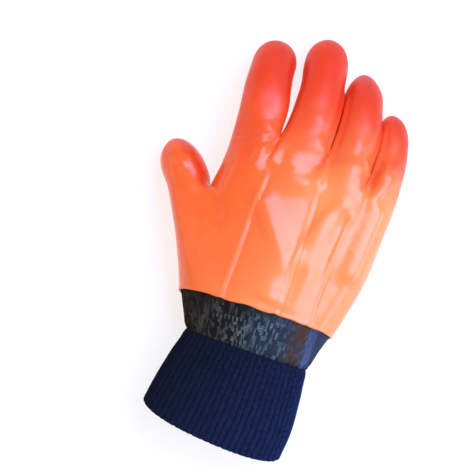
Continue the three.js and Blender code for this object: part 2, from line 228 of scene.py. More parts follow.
def smooth_step(value: Array | float, low: float, high: float) -> Array:
    """Eases from 0 to 1 as value goes from low to high.

    Args:
        value: One number or an array of them.
        low: Where the step starts.
        high: Where it ends; below low, the step falls instead.

    Returns:
        The eased share, shaped as value.
    """
    t = np.clip((np.asarray(value, float) - low) / (high - low), 0.0, 1.0)
    return t * t * (3.0 - 2.0 * t)


def smooth_curve(t: Array | float, start: Array, end: Array, leaving: Array, arriving: Array) -> Array:
    """Returns the curve from start to end at t, which leaves and arrives with the given strides."""
    curve = (2 * t**3 - 3 * t**2 + 1) * start + (t**3 - 2 * t**2 + t) * leaving
    return curve + (3 * t**2 - 2 * t**3) * end + (t**3 - t**2) * arriving


def section_at(table: Sequence[Section], y: float) -> Section:
    """Eases a table of sections to any place along the glove.

    Args:
        table: Sections in order of y.
        y: Where the section is wanted.

    Returns:
        The section there.
    """
    rows = np.array([section.numbers() for section in table])
    last = len(rows) - 1
    at = int(np.clip(np.searchsorted(rows[:, 0], y, side="right") - 1, 0, last))
    if at == last or y <= rows[0, 0]:
        return replace(table[at], y=y)
    a, b = rows[at], rows[at + 1]
    before, after = rows[max(at - 1, 0)], rows[min(at + 2, last)]
    step = b[0] - a[0]
    leaving = (b - before) / (b[0] - before[0]) * step
    arriving = (after - a) / (after[0] - a[0]) * step
    row = smooth_curve((y - a[0]) / step, a, b, leaving, arriving)
    return Section(y, *row[1:7], seams=tuple(row[7:10]))


def on_section(section: Section, x: float, back: bool) -> Array:
    """Finds the point of a section at x.

    Args:
        section: The section.
        x: How far across.
        back: True on the back of the hand, False on the palm.

    Returns:
        The point.
    """
    half = (section.right - section.left) / 2
    rise = (section.top - section.bottom) / 2
    across = float(np.clip((x - section.left) / half - 1, -1, 1))
    power = BACK_SQUARENESS if back else PALM_SQUARENESS
    up = (1 - abs(across) ** power) ** (1 / power) * (1 if back else -1)
    y = section.y - section.lean * across / 2 - section.tilt * up / 2
    return np.array([x, y, (section.top + section.bottom) / 2 + up * rise])


def on_line(line: Array, stops: Array, wanted: Array) -> Array:
    """Returns the points at wanted places along a line, whose corners lie at the stops."""
    return np.column_stack([np.interp(wanted, stops, axis) for axis in line.T])


def round_section(section: Section, count: int) -> Array:
    """Spaces points evenly round a section, from the thumb side over the back.

    Args:
        section: The section.
        count: How many points are wanted.

    Returns:
        The points.
    """
    share = (1 - np.cos(2 * np.pi * np.arange(OUTLINE_STEPS) / OUTLINE_STEPS)) / 2
    xs = section.left + (section.right - section.left) * share
    line = np.array([on_section(section, x, i < OUTLINE_STEPS / 2) for i, x in enumerate(xs)])
    closed = np.vstack([line, line[:1]])
    stops = np.concatenate([[0.0], np.cumsum(np.linalg.norm(np.diff(closed, axis=0), axis=1))])
    return on_line(closed, stops, np.arange(count) / count * stops[-1])


# The hand's cage and the smooth skin on it


class HandCage:
    """A coarse net of quads, each point of which says where the smooth skin has to pass.

    Quads have their corners anticlockwise seen from outside, the two lower ones first. Each quad knows the
    ring that it stands on, and each point its row.
    """

    def __init__(self) -> None:
        """Builds the wrist's and the hand's rings, the thumb and the fingers."""
        self.points: list[Array] = []
        self.rows: list[float] = []
        self.quads: list[list[int]] = []
        self.floors: list[int] = []
        feet = [section_at(SLEEVE, y).grown(HEM_WALL + LAP_GAP) for y in (DIP_FOOT, DIP_MIDDLE, HEM)]
        rings = [self.hand_ring(replace(foot, seams=HEM_SEAMS), 0.0, row) for row, foot in enumerate(feet)]
        for section in PALM:
            rings.append(self.hand_ring(section, PANEL_CROWN, len(rings)))
        knuckles, webs = self.knuckle_ring(len(rings))
        rings.append(knuckles)
        first, _, last = THUMB_ROWS
        for i in range(1, len(rings)):
            skipped = (PALM_SIDE, THUMB_SIDE) if first < i <= last else ()
            self.join(rings[i - 1], rings[i], i - 1, skipped)
        over = [rings[row][0] for row in THUMB_ROWS]
        under = [rings[row][PALM_SIDE] for row in reversed(THUMB_ROWS)]
        hole = [*over, rings[last][THUMB_SIDE], *under, rings[first][THUMB_SIDE]]
        self.grow_digit(hole, THUMB, first)
        for i, finger in enumerate(FINGERS):
            back = knuckles[2 * i : 2 * i + 3]
            palm = knuckles[PALM_SIDE - 2 - 2 * i : PALM_SIDE + 1 - 2 * i]
            right = webs[i] if i < len(webs) else knuckles[LITTLE_SIDE]
            left = webs[i - 1] if i else knuckles[THUMB_SIDE]
            self.grow_digit([*back, right, *palm, left], finger, len(rings))

    def add(self, point: Iterable[float], row: float) -> int:
        """Adds a point.

        Args:
            point: Where it is.
            row: Its row.

        Returns:
            Its number.
        """
        self.points.append(np.array(point, float))
        self.rows.append(row)
        return len(self.points) - 1

    def face(self, quad: list[int], floor: int) -> None:
        """Adds a quad that stands on a ring."""
        self.quads.append(quad)
        self.floors.append(floor)

    def join(self, lower: list[int], upper: list[int], floor: int, skipped: Sequence[int] = ()) -> None:
        """Adds a band of quads between two rings.

        Args:
            lower: The ring nearer the wrist.
            upper: The next ring, which runs the same way round.
            floor: The number of the lower ring.
            skipped: Columns that stay open.
        """
        for i, corner in enumerate(lower):
            after = (i + 1) % len(lower)
            if i not in skipped:
                self.face([corner, lower[after], upper[after], upper[i]], floor)

    def hand_ring(self, section: Section, crown: float, row: int) -> list[int]:
        """Adds a ring of twenty points on a section.

        Args:
            section: The section.
            crown: How far each panel rises between its seams.
            row: The ring's number.

        Returns:
            The numbers of its points.
        """
        half = (section.right - section.left) / 2
        centre = (section.right + section.left) / 2
        edges = [centre - CORNER * half, *section.seams, centre + CORNER * half]
        columns = [edges[0]]
        for low, high in zip(edges, edges[1:]):
            columns += [(low + high) / 2, high]
        back = [on_section(section, x, True) for x in columns]
        for i, point in enumerate(back):
            point[2] += -crown if i in SEAM_COLUMNS else crown
        palm = [on_section(section, x, False) for x in reversed(columns)]
        little, thumb = (on_section(section, x, True) for x in (section.right, section.left))
        return [self.add(point, row) for point in (*back, little, *palm, thumb)]

    def knuckle_ring(self, row: int) -> tuple[list[int], list[int]]:
        """Adds the last ring of the hand, whose seam columns are the edges of the webs.

        Args:
            row: The ring's number.

        Returns:
            The numbers of the ring's points and of the webs' lowest points.
        """
        ring = self.hand_ring(KNUCKLES, PANEL_CROWN, row)
        for web, column in zip(WEBS, SEAM_COLUMNS):
            for corner, up in ((column, web.high), (PALM_SIDE - column, -web.high)):
                self.points[ring[corner]] = np.array([web.x, web.y - WEB_SLOPE, web.z + up])
        return ring, [self.add((web.x, web.y, web.z), row) for web in WEBS]

    def grow_digit(self, root: list[int], digit: Digit, floor: int) -> None:
        """Adds a digit's rings of eight, square to its own line, and its cap.

        Args:
            root: The eight points that it grows from.
            digit: Its sections.
            floor: The number of the ring that it stands on.
        """
        corner = (1 - FINGER_CORNER**FINGER_SQUARENESS) ** (1 / FINGER_SQUARENESS)
        over = [(-FINGER_CORNER, corner), (0.0, 1.0), (FINGER_CORNER, corner), (1.0, 0.0)]
        outline = [*over, *((-across, -rise) for across, rise in over)]
        centres = [Vector((ring.x, ring.y, ring.z)) for ring in digit.rings]
        stops = [*centres, Vector(digit.tip)]
        zenith = Vector((0.0, 0.0, 1.0))
        lower, row = root, float(floor)
        for i, ring in enumerate(digit.rings):
            along = (stops[i + 1] - centres[max(i - 1, 0)]).normalized()
            along.rotate(Matrix.Rotation(math.radians(ring.turn), 3, zenith))
            right = along.cross(zenith).normalized()
            up = right.cross(along)
            row += 1.0
            upper = [
                self.add(centres[i] + right * (across * ring.wide) + up * (rise * ring.high), row)
                for across, rise in outline
            ]
            self.join(lower, upper, floor)
            lower = upper
        self.cap(lower, digit.tip, floor, row + 1.0)

    def cap(self, ring: list[int], tip: Sequence[float], floor: int, row: float) -> None:
        """Closes a ring of eight with four quads round a tip.

        Args:
            ring: The ring, from the back's left corner.
            tip: The middle of the cap.
            floor: The number of the ring that the digit stands on.
            row: The tip's row.
        """
        back_left, back, back_right, right, palm_right, palm, palm_left, left = ring
        middle = self.add(tip, row)
        self.face([left, back_left, back, middle], floor)
        self.face([middle, back, back_right, right], floor)
        self.face([palm, middle, right, palm_right], floor)
        self.face([palm_left, left, middle, palm], floor)

    def rest_weights(self) -> Array:
        """Works out where each point of the net comes to rest on the smooth skin.

        Returns:
            A square matrix that turns the net's points into points of the skin.
        """
        count = len(self.points)
        weights = np.zeros((count, count))
        sides: dict[int, dict[int, int]] = {i: {} for i in range(count)}
        for quad in self.quads:
            for i, corner in enumerate(quad):
                for other in (quad[(i + 1) % 4], quad[(i + 3) % 4]):
                    sides[corner][other] = sides[corner].get(other, 0) + 1
                weights[corner, quad[(i + 2) % 4]] += 1.0
        for corner, near in sides.items():
            rim = [other for other, seen in near.items() if seen == 1]
            n = len(near)
            if rim:
                weights[corner] = 0.0
                weights[corner, corner] = 4.0 / 6.0
                weights[corner, rim] = 1.0 / 6.0
            elif n:
                weights[corner, list(near)] += 4.0
                weights[corner, corner] += n * n
                weights[corner] /= n * (n + 5)
        return weights

    def fitted(self) -> Array:
        """Moves the net out until the smooth skin passes through its points.

        Returns:
            The moved points.
        """
        wanted = np.array(self.points)
        weights = self.rest_weights()
        points = wanted.copy()
        for _ in range(SKIN_FITS):
            points += wanted - weights @ points
        return points


@dataclass
class Skin:
    """The smooth skin of the hand as a mesh: points, quads, and which ring of the cage they belong to."""

    points: Array
    quads: Array
    rows: Array
    floors: Array
    normals: Array = field(init=False)

    def __post_init__(self) -> None:
        """Works out the outward directions."""
        self.normals = outward(self.points, self.quads)

    def under(self, depth: Array | float) -> Array:
        """Returns the points moved in from the skin."""
        return self.points - self.normals * np.broadcast_to(depth, len(self.points))[:, None]


def unit(vectors: Array) -> Array:
    """Returns the vectors at length 1."""
    return vectors / np.maximum(np.linalg.norm(vectors, axis=-1, keepdims=True), 1e-12)


def outward(points: Array, quads: Array) -> Array:
    """Averages the directions of the quads round each point.

    Args:
        points: The mesh's points.
        quads: Its quads, anticlockwise from outside.

    Returns:
        A unit vector for each point.
    """
    corners = points[quads]
    faces = np.cross(corners[:, 2] - corners[:, 0], corners[:, 3] - corners[:, 1])
    total = np.zeros_like(points)
    for i in range(4):
        np.add.at(total, quads[:, i], faces)
    return unit(total)


def in_scene(name: str, data: Any) -> bpy.types.Object:
    """Makes an object and links it to the scene.

    Args:
        name: The object's name.
        data: Its mesh, light or camera.

    Returns:
        The object.
    """
    piece = bpy.data.objects.new(name, data)
    bpy.context.scene.collection.objects.link(piece)
    return piece


def as_shown(piece: bpy.types.Object) -> bpy.types.Mesh:
    """Returns a new mesh of the object as its modifiers leave it."""
    return bpy.data.meshes.new_from_object(piece.evaluated_get(bpy.context.evaluated_depsgraph_get()))


def read_out(rows: Any, name: str, width: int, kind: type) -> Array:
    """Reads a property of every element of a mesh.

    Args:
        rows: The elements.
        name: The property's name.
        width: How many numbers it has to an element.
        kind: The type of these numbers.

    Returns:
        The numbers in one row.
    """
    values = np.empty(len(rows) * width, kind)
    rows.foreach_get(name, values)
    return values


def smooth_skin(level: int) -> Skin:
    """Smooths the hand's cage with a subdivision surface.

    Args:
        level: How often each quad is cut in four.

    Returns:
        The skin, in millimetres.
    """
    cage = HandCage()
    used = sorted({corner for quad in cage.quads for corner in quad})
    place = {corner: i for i, corner in enumerate(used)}
    mesh = bpy.data.meshes.new("hand cage")
    mesh.from_pydata(cage.fitted()[used].tolist(), [], [[place[i] for i in quad] for quad in cage.quads])
    rows, floors = np.array(cage.rows, np.float32)[used], np.array(cage.floors, np.int32)
    mesh.attributes.new("row", "FLOAT", "POINT").data.foreach_set("value", rows)
    mesh.attributes.new("floor", "INT", "FACE").data.foreach_set("value", floors)
    piece = in_scene("hand cage", mesh)
    smoothing = piece.modifiers.new("smooth skin", "SUBSURF")
    smoothing.levels = level
    smoothing.render_levels = level
    smoothing.boundary_smooth = "ALL"
    smoothing.use_limit_surface = True
    fine = as_shown(piece)
    points = read_out(fine.vertices, "co", 3, np.float32).reshape(-1, 3).astype(float)
    quads = read_out(fine.loops, "vertex_index", 1, np.int32)
    rows = read_out(fine.attributes["row"].data, "value", 1, np.float32)
    floors = read_out(fine.attributes["floor"].data, "value", 1, np.int32)
    points[:, 2] = np.maximum(points[:, 2], 0.0)
    bpy.data.objects.remove(piece)
    bpy.data.meshes.remove(mesh)
    bpy.data.meshes.remove(fine)
    return Skin(points, quads.reshape(-1, 4), rows, floors)


def frame_shift() -> Array:
    """Finds the frame's place for the measuring frame's zero, by the coat's own box.

    Returns:
        What is added to a place in the measuring frame, in millimetres.
    """
    points = smooth_skin(1).points
    low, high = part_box("orange_coat")
    return np.array([low.x / MM - points[:, 0].min(), high.y / MM - points[:, 1].max(), 0.0])


# Meshes


@dataclass
class Surface:
    """Points, faces and the values at each point that finishes read, gathered into one mesh."""

    points: list[Array] = field(default_factory=list)
    faces: list[list[int]] = field(default_factory=list)
    slots: list[int] = field(default_factory=list)
    values: dict[str, list[Array]] = field(default_factory=dict)
    count: int = 0

    def add_points(self, points: Array, **values: Array | float) -> int:
        """Adds points.

        Args:
            points: The points, in millimetres.
            values: A value for each point under each name.

        Returns:
            The number of the first one.
        """
        first = self.count
        self.points.append(points)
        self.count += len(points)
        for name in set(self.values) | set(values):
            if name not in self.values:
                self.values[name] = [np.zeros(first)]
            self.values[name].append(np.broadcast_to(values.get(name, 0.0), len(points)).astype(float))
        return first

    def add_faces(self, faces: Iterable[Iterable[int]], slot: int = 0) -> None:
        """Adds faces that take one finish.

        Args:
            faces: The numbers of each face's points.
            slot: The number of the finish.
        """
        made = [[int(i) for i in face] for face in faces]
        self.faces += made
        self.slots += [slot] * len(made)

    def add_band(self, first: Sequence[int], second: Sequence[int]) -> None:
        """Adds a closed band of quads between two rings of points."""
        self.add_faces(zip(first, second, np.roll(second, -1), np.roll(first, -1)))

    def piece(self, name: str, shift: Array, finishes: Sequence[bpy.types.Material]) -> bpy.types.Object:
        """Makes a smooth shaded object in the scene, in metres in the frame.

        Args:
            name: The object's name.
            shift: The frame's place for the measuring frame's zero.
            finishes: Its materials, in the order of the faces' slots.

        Returns:
            The object.
        """
        mesh = bpy.data.meshes.new(name)
        mesh.from_pydata(((np.vstack(self.points) + shift) * MM).tolist(), [], self.faces)
        mesh.polygons.foreach_set("material_index", np.array(self.slots, np.int32))
        mesh.shade_smooth()
        for key, parts in self.values.items():
            data = np.concatenate(parts).astype(np.float32)
            mesh.attributes.new(key, "FLOAT", "POINT").data.foreach_set("value", data)
        mesh.validate()
        mesh.update()
        for finish in finishes:
            mesh.materials.append(finish)
        return in_scene(name, mesh)


def rim_loops(quads: Array) -> list[list[int]]:
    """Finds the open edges of a mesh.

    Args:
        quads: Its quads.

    Returns:
        Each rim as a closed line of points, with the faces on its left.
    """
    after: dict[int, int] = {}
    sides = {(int(quad[i]), int(quad[(i + 1) % 4])) for quad in quads for i in range(4)}
    for a, b in sides:
        if (b, a) not in sides:
            after[a] = b
    loops = []
    while after:
        start, following = after.popitem()
        loop = [start]
        while following != start:
            loop.append(following)
            following = after.pop(following)
        loops.append(loop)
    return loops


def rounded(over: Array, under: Array, way: Array, steps: int, bulge: float = 1.0) -> list[Array]:
    """Rounds an edge over from one ring of points to another.

    Args:
        over: The ring that it starts from.
        under: The ring that it ends at, point for point.
        way: The unit vectors in which it bulges.
        steps: How many steps the half turn has.
        bulge: How far it bulges, where 1 is a half circle.

    Returns:
        The rings between the two.
    """
    middle, reach = (over + under) / 2, (over - under) / 2
    down = way * np.linalg.norm(reach, axis=1)[:, None] * bulge
    angles = np.pi * np.arange(1, steps) / steps
    return [middle + reach * np.cos(angle) + down * np.sin(angle) for angle in angles]


def turned_to(loop: list[int], points: Array, start: Array) -> list[int]:
    """Returns the loop turned to begin at its point nearest to start."""
    first = int(np.argmin(np.linalg.norm(points[loop] - start, axis=1)))
    return loop[first:] + loop[:first]


def part_of(skin: Skin, chosen: Array) -> tuple[Array, Array]:
    """Takes some quads of a skin with their points.

    Args:
        skin: The skin.
        chosen: For each quad, True if it is wanted.

    Returns:
        The numbers of the points that are used, and the quads in those numbers' order.
    """
    quads = skin.quads[chosen]
    used, flat = np.unique(quads, return_inverse=True)
    return used, flat.reshape(-1, 4)


def softly_uneven(points: Array, size: float, seed: float) -> Array:
    """Draws smooth noise at each point.

    Args:
        points: The points, in millimetres.
        size: How wide its bumps are, in millimetres.
        seed: Moves the pattern.

    Returns:
        Values from about -1 to 1.
    """
    offset = Vector((seed, -1.7 * seed, 0.6 * seed))
    return np.array([noise.noise(Vector(point) / size + offset) for point in points])


# Relief on the back of the coat

FOLD_STEPS = 12  # between two corners of a fold's path
FOLD_REACH = 3.2  # half widths from its line, beyond which a fold no longer shows


@dataclass(frozen=True)
class Fold:
    """A soft ridge that runs over the back of the hand, or a crease where its height is negative.

    The path is seen from above, flat_side makes the slope on its left that much wider, and fades are how far
    its start and its end die away.
    """

    path: tuple[tuple[float, float], ...]
    height: float
    half_width: float
    fades: tuple[float, float] = (6.0, 6.0)
    flat_side: float = 1.0

    def line(self) -> Array:
        """Draws the path as a fine smooth line.

        Returns:
            The points of the line, from start to end.
        """
        corners = np.array(self.path, float)
        ends = np.vstack([2 * corners[0] - corners[1], corners, 2 * corners[-1] - corners[-2]])
        steps = np.linspace(0, 1, FOLD_STEPS, endpoint=False)[:, None]
        spans = zip(ends, ends[1:], ends[2:], ends[3:])
        parts = [smooth_curve(steps, a, b, (b - last) / 2, (then - a) / 2) for last, a, b, then in spans]
        return np.vstack([*parts, corners[-1:]])

    def rise(self, plan: Array) -> Array:
        """Works out how far the fold lifts the surface.

        Args:
            plan: Places seen from above.

        Returns:
            The lift at each place, in millimetres.
        """
        line = self.line()
        reach = FOLD_REACH * self.half_width * max(self.flat_side, 1.0)
        low, high = line.min(0) - reach, line.max(0) + reach
        near = np.flatnonzero(((plan > low) & (plan < high)).all(1))
        lift = np.zeros(len(plan))
        if not len(near):
            return lift
        starts, steps = line[:-1], np.diff(line, axis=0)
        lengths = np.linalg.norm(steps, axis=1)
        run = np.concatenate([[0.0], np.cumsum(lengths)])
        away = plan[near][:, None] - starts[None]
        share = np.clip((away * steps).sum(2) / (lengths**2), 0, 1)
        apart = away - share[..., None] * steps
        distance = np.linalg.norm(apart, axis=2)
        best = distance.argmin(1)
        pick = np.arange(len(near))
        along = run[best] + share[pick, best] * lengths[best]
        side = steps[best, 0] * away[pick, best, 1] - steps[best, 1] * away[pick, best, 0]
        width = np.where(side > 0, self.half_width * self.flat_side, self.half_width)
        ends = smooth_step(along, 0.0, self.fades[0]) * smooth_step(run[-1] - along, 0.0, self.fades[1])
        lift[near] = self.height * np.exp(-((distance[pick, best] / width) ** 2)) * ends
        return lift


@dataclass(frozen=True)
class Swell:
    """A broad soft rise on the back of the hand, or a hollow where its height is negative."""

    x: float
    y: float
    across: float
    along: float
    height: float

    def rise(self, plan: Array) -> Array:
        """Returns the lift at each place seen from above, in millimetres."""
        away = (plan - (self.x, self.y)) / (self.across, self.along)
        return self.height * np.exp(-(away**2).sum(1))


@dataclass(frozen=True)
class Puckers:
    """A patch of fine wrinkles side by side, which run across the hand and are turned a few degrees.

    They waver by that many spacings, over a length in spacings too. Of their height the first share is even
    and the second comes and goes from patch to patch.
    """

    x: float
    y: float
    across: float
    along: float
    spacing: float
    height: float
    turn: float
    faintest: float = 0.02
    waver: float = 1.1
    waver_length: float = 3.2
    shares: tuple[float, float] = (0.55, 0.45)
    patch: float = 5.0

    def rise(self, plan: Array) -> Array:
        """Works out how far the wrinkles lift the surface.

        Args:
            plan: Places seen from above.

        Returns:
            The lift at each place, in millimetres.
        """
        turn = math.radians(self.turn)
        dx, dy = plan[:, 0] - self.x, plan[:, 1] - self.y
        u = dx * math.cos(turn) + dy * math.sin(turn)
        v = dy * math.cos(turn) - dx * math.sin(turn)
        inside = np.exp(-((u / self.across) ** 2) - (v / self.along) ** 2)
        lift = np.zeros(len(plan))
        near = np.flatnonzero(inside > self.faintest)
        place = np.column_stack([u[near], v[near], np.zeros(len(near))])
        waver = self.waver * softly_uneven(place, self.waver_length * self.spacing, 4.0)
        waves = np.sin(2 * np.pi * (v[near] / self.spacing + waver))
        share = self.shares[0] + self.shares[1] * softly_uneven(place, self.patch, 9.0)
        lift[near] = self.height * waves * inside[near] * share
        return lift


# The places below were read off the photograph, at the glove's scale and in the measuring frame.
FOLDS = (
    # long soft bulges along the left of the second panel's light flank, and beside the second seam to the hem
    Fold(
        ((-27.0, 173.0), (-21.5, 165.0), (-12.5, 153.0), (-2.0, 141.0), (5.5, 131.0), (11.0, 118.0)),
        3.2, 5.0, (12.0, 34.0), 1.9,
    ),
    Fold(((5.5, 148.0), (4.5, 138.5), (2.5, 127.0), (1.5, 114.5), (0.5, 102.5)), 2.4, 9.0, (22.0, 6.0), 1.4),
    # the bulges that light the third panel from upper right to lower left, and the fourth along its flank
    Fold(
        ((33.5, 184.5), (24.5, 171.5), (17.0, 153.5), (13.0, 139.0), (11.0, 126.0)),
        1.9, 3.5, (8.0, 14.0), 2.6,
    ),
    Fold(
        ((55.5, 193.0), (55.5, 181.0), (54.5, 163.0), (52.5, 143.0), (51.5, 126.5)),
        3.2, 9.0, (12.0, 12.0), 0.8,
    ),
    Fold(
        ((37.5, 177.5), (37.5, 164.0), (36.5, 153.0), (35.0, 140.5), (33.5, 127.5)),
        1.0, 2.6, (6.0, 20.0), 1.4,
    ),
    # the middle finger's and the ring finger's tendons, which run down into the second and the third seam
    Fold(
        ((0.0, 221.0), (5.0, 210.5), (9.0, 201.0), (11.0, 190.5), (10.5, 179.5)),
        2.4, 5.0, (9.0, 9.0), 0.6,
    ),
    Fold(
        ((30.5, 216.0), (35.5, 205.5), (38.5, 195.5), (39.0, 184.5), (38.5, 173.5), (38.0, 164.0)),
        5.4, 12.0, (10.0, 26.0), 0.25,
    ),
    # gathers below the web between the index and the middle finger
    Fold(((-29.5, 203.5), (-31.0, 192.0), (-33.5, 180.0)), 1.8, 2.6, flat_side=2.0),
    Fold(((-16.5, 207.5), (-19.5, 198.0), (-22.0, 186.5)), 3.0, 2.4, flat_side=2.2),
    Fold(((-9.0, 205.0), (-11.0, 197.0), (-11.5, 188.0)), 1.4, 3.0, flat_side=2.4),
    # the little finger's fold, which curves down to the third seam
    Fold(((57.5, 211.5), (55.0, 199.5), (49.0, 189.5), (40.5, 180.0)), 2.4, 3.6, (8.0, 12.0), 1.3),
    Fold(((50.5, 205.0), (46.0, 198.0), (41.0, 192.5)), -0.9, 2.8),
    # creases across the roots of the index and the ring finger
    Fold(((-50.0, 198.0), (-39.5, 202.0), (-25.5, 206.0)), 1.1, 1.2),
    Fold(((-50.5, 199.5), (-40.0, 203.5), (-26.0, 207.5)), -0.8, 1.2),
    Fold(((-47.5, 197.0), (-44.0, 188.5), (-40.0, 178.0)), 0.5, 1.6, (7.0, 7.0)),
    # the crease down from the thumb's web
    Fold(((-55.0, 168.5), (-51.0, 160.0), (-49.5, 150.5)), -0.5, 3.0, (9.0, 9.0)),
    # the index finger's root and the near flank of the ring finger's tendon
    Fold(((-31.5, 217.0), (-30.5, 212.0), (-29.5, 206.5)), 1.0, 3.2, (5.0, 5.0)),
    Fold(((30.0, 209.0), (33.0, 200.5), (34.5, 194.0), (35.5, 189.0)), 1.8, 7.0, (6.0, 8.0), 0.5),
    # the streak that runs down the thumb
    Fold(((-88.0, 181.0), (-82.5, 177.0), (-78.0, 174.0), (-72.5, 171.0)), 1.35, 2.7, (5.0, 5.0)),
)
SWELLS = (
    Swell(-87.0, 181.5, 8.0, 8.0, 1.5),
    Swell(-72.5, 166.0, 8.0, 7.0, -1.6),
    Swell(-74.5, 181.5, 6.0, 6.0, 1.2),
    Swell(-31.0, 210.5, 9.0, 7.0, 2.2),
    Swell(-25.5, 230.5, 10.0, 15.0, 1.4),
    Swell(-35.0, 226.5, 8.0, 12.0, -1.1),
    Swell(0.5, 226.0, 8.0, 6.0, 1.75),
    Swell(3.5, 210.5, 8.0, 5.0, 1.2),
    Swell(30.0, 218.5, 7.0, 6.0, 1.6),
    Swell(-28.0, 195.5, 8.0, 8.0, 2.0),
    Swell(-15.5, 209.5, 5.5, 6.0, 1.9),
    Swell(4.0, 183.5, 14.0, 6.0, 2.0),
    Swell(26.5, 191.5, 13.0, 10.0, 1.6),
    Swell(1.0, 206.5, 9.0, 5.0, 1.5),
    Swell(-49.0, 143.5, 6.0, 6.0, 1.2),
    Swell(-45.5, 150.5, 5.0, 6.0, -1.1),
    Swell(-46.5, 132.5, 6.0, 4.5, 1.0),
    Swell(-39.0, 133.5, 5.0, 4.5, -1.0),
    Swell(-36.5, 142.5, 5.0, 5.0, 0.8),
    Swell(-37.5, 179.0, 10.0, 9.0, 0.5),
)
PUCKERS = (
    Puckers(-2.0, 164.5, 9.0, 7.0, 3.1, 0.2, 8.0),
    Puckers(-44.5, 134.0, 8.0, 13.0, 4.6, 0.4, 6.0),
    Puckers(-48.5, 153.0, 7.0, 9.0, 4.6, 0.35, 10.0),
    Puckers(45.0, 159.5, 7.0, 12.0, 3.6, 0.09, -12.0),
)


@dataclass(frozen=True)
class SeamRelief:
    """The three raised seams: a narrow ridge on each, with a fine groove along its little-finger side.

    Each runs toward_thumb beside its tabled line and drifts about it a little. It fades out over end_fade
    below its end near the web, and over hem_fade above the hem.
    """

    heights: tuple[float, float, float] = (0.5, 0.2, 0.3)
    half_width: float = 1.5
    groove: float = 0.3
    groove_away: float = 2.7
    groove_half: float = 0.7
    ends: tuple[float, float, float] = (188.0, 184.0, 178.0)
    end_fade: float = 12.0
    hem_fade: float = 7.0
    toward_thumb: tuple[float, float, float] = (1.0, 1.6, 0.0)
    drift: float = 0.4
    drift_length: float = 9.0
    lines_from: float = HEM - 8.0
    line_steps: int = 60

    def aside(self, plan: Array, seam: int) -> Array:
        """Works out how far each place lies to the little-finger side of a seam.

        Args:
            plan: Places seen from above.
            seam: The seam's number, from the thumb's side.

        Returns:
            The distance of each place, in millimetres.
        """
        ys = np.linspace(self.lines_from, KNUCKLES.y, self.line_steps)
        table = (*SLEEVE[:-1], *PALM, KNUCKLES)
        xs = np.array([section_at(table, y).seams[seam] for y in ys])
        x = np.interp(plan[:, 1], ys, xs)
        lean = np.interp(plan[:, 1], ys, np.gradient(xs, ys))
        waver = self.drift * np.sin(plan[:, 1] / self.drift_length + 2.0 * seam)
        return (plan[:, 0] - x + self.toward_thumb[seam] - waver) / np.sqrt(1.0 + lean**2)

    def rise(self, plan: Array) -> Array:
        """Works out how far the seams lift the surface.

        Args:
            plan: Places seen from above.

        Returns:
            The lift at each place, in millimetres.
        """
        lift = np.zeros(len(plan))
        for seam, end in enumerate(self.ends):
            away = self.aside(plan, seam)
            shown = smooth_step(plan[:, 1], end, end - self.end_fade)
            shown = shown * smooth_step(plan[:, 1], HEM, HEM + self.hem_fade)
            ridge = self.heights[seam] * np.exp(-((away / self.half_width) ** 2))
            groove = self.groove * np.exp(-(((away - self.groove_away) / self.groove_half) ** 2))
            lift += shown * (ridge - groove)
        return lift

    def ridge_share(self, plan: Array) -> Array:
        """Works out how near each place is to a seam's crest.

        Args:
            plan: Places seen from above.

        Returns:
            A share for each place, 1 on the crest.
        """
        share = np.zeros(len(plan))
        for seam, end in enumerate(self.ends):
            away = self.aside(plan, seam)
            shown = smooth_step(plan[:, 1], end, end - self.end_fade)
            share = np.maximum(share, shown * np.exp(-((away / self.half_width) ** 2)))
        return share


def drawn_to_seams(skin: Skin, seams: SeamRelief) -> Array:
    """Slides the points of the back towards the seams, so that their ridges are finely drawn.

    Args:
        skin: The skin.
        seams: The seams' relief.

    Returns:
        The moved points, still on the same surface.
    """
    closeness = 1.7  # the power that draws points towards a seam
    faces_up = 0.35  # how far up a normal points at least on the back
    beside_last = 9.0  # how far beyond the outer seams points are drawn
    above = 90.0  # where rays start, over the whole hand
    top, free, full = (KNUCKLES.y - below for below in (4.0, 6.0, 24.0))
    points = skin.points.copy()
    on_hand = (skin.rows >= HEM_ROW) & (points[:, 1] < top)
    near = np.flatnonzero(on_hand & (skin.normals[:, 2] > faces_up))
    plan = points[near, :2]
    away = np.column_stack([seams.aside(plan, seam) for seam in range(3)])
    nearest = np.abs(away).argmin(1)
    distance = away[np.arange(len(near)), nearest]
    gaps = np.abs(np.diff(away, axis=1)) / 2
    toward_next = np.where(distance > 0, nearest, nearest - 1)
    between = gaps[np.arange(len(near)), np.clip(toward_next, 0, 1)]
    half = np.where((toward_next < 0) | (toward_next > 1), beside_last, between)
    share = np.clip(np.abs(distance) / half, 0.0, 1.0)
    moved = np.sign(distance) * half * share**closeness - distance
    fade = smooth_step(plan[:, 1], free, full) * (share < 1.0)
    tree = BVHTree.FromPolygons(skin.points.tolist(), skin.quads.tolist())
    for i, step in zip(near, moved * fade):
        if abs(step) > 1e-3:
            start = Vector((points[i, 0] + step, points[i, 1], above))
            hit = tree.ray_cast(start, Vector((0.0, 0.0, -1.0)))[0]
            if hit is not None:
                points[i] = hit
    return points


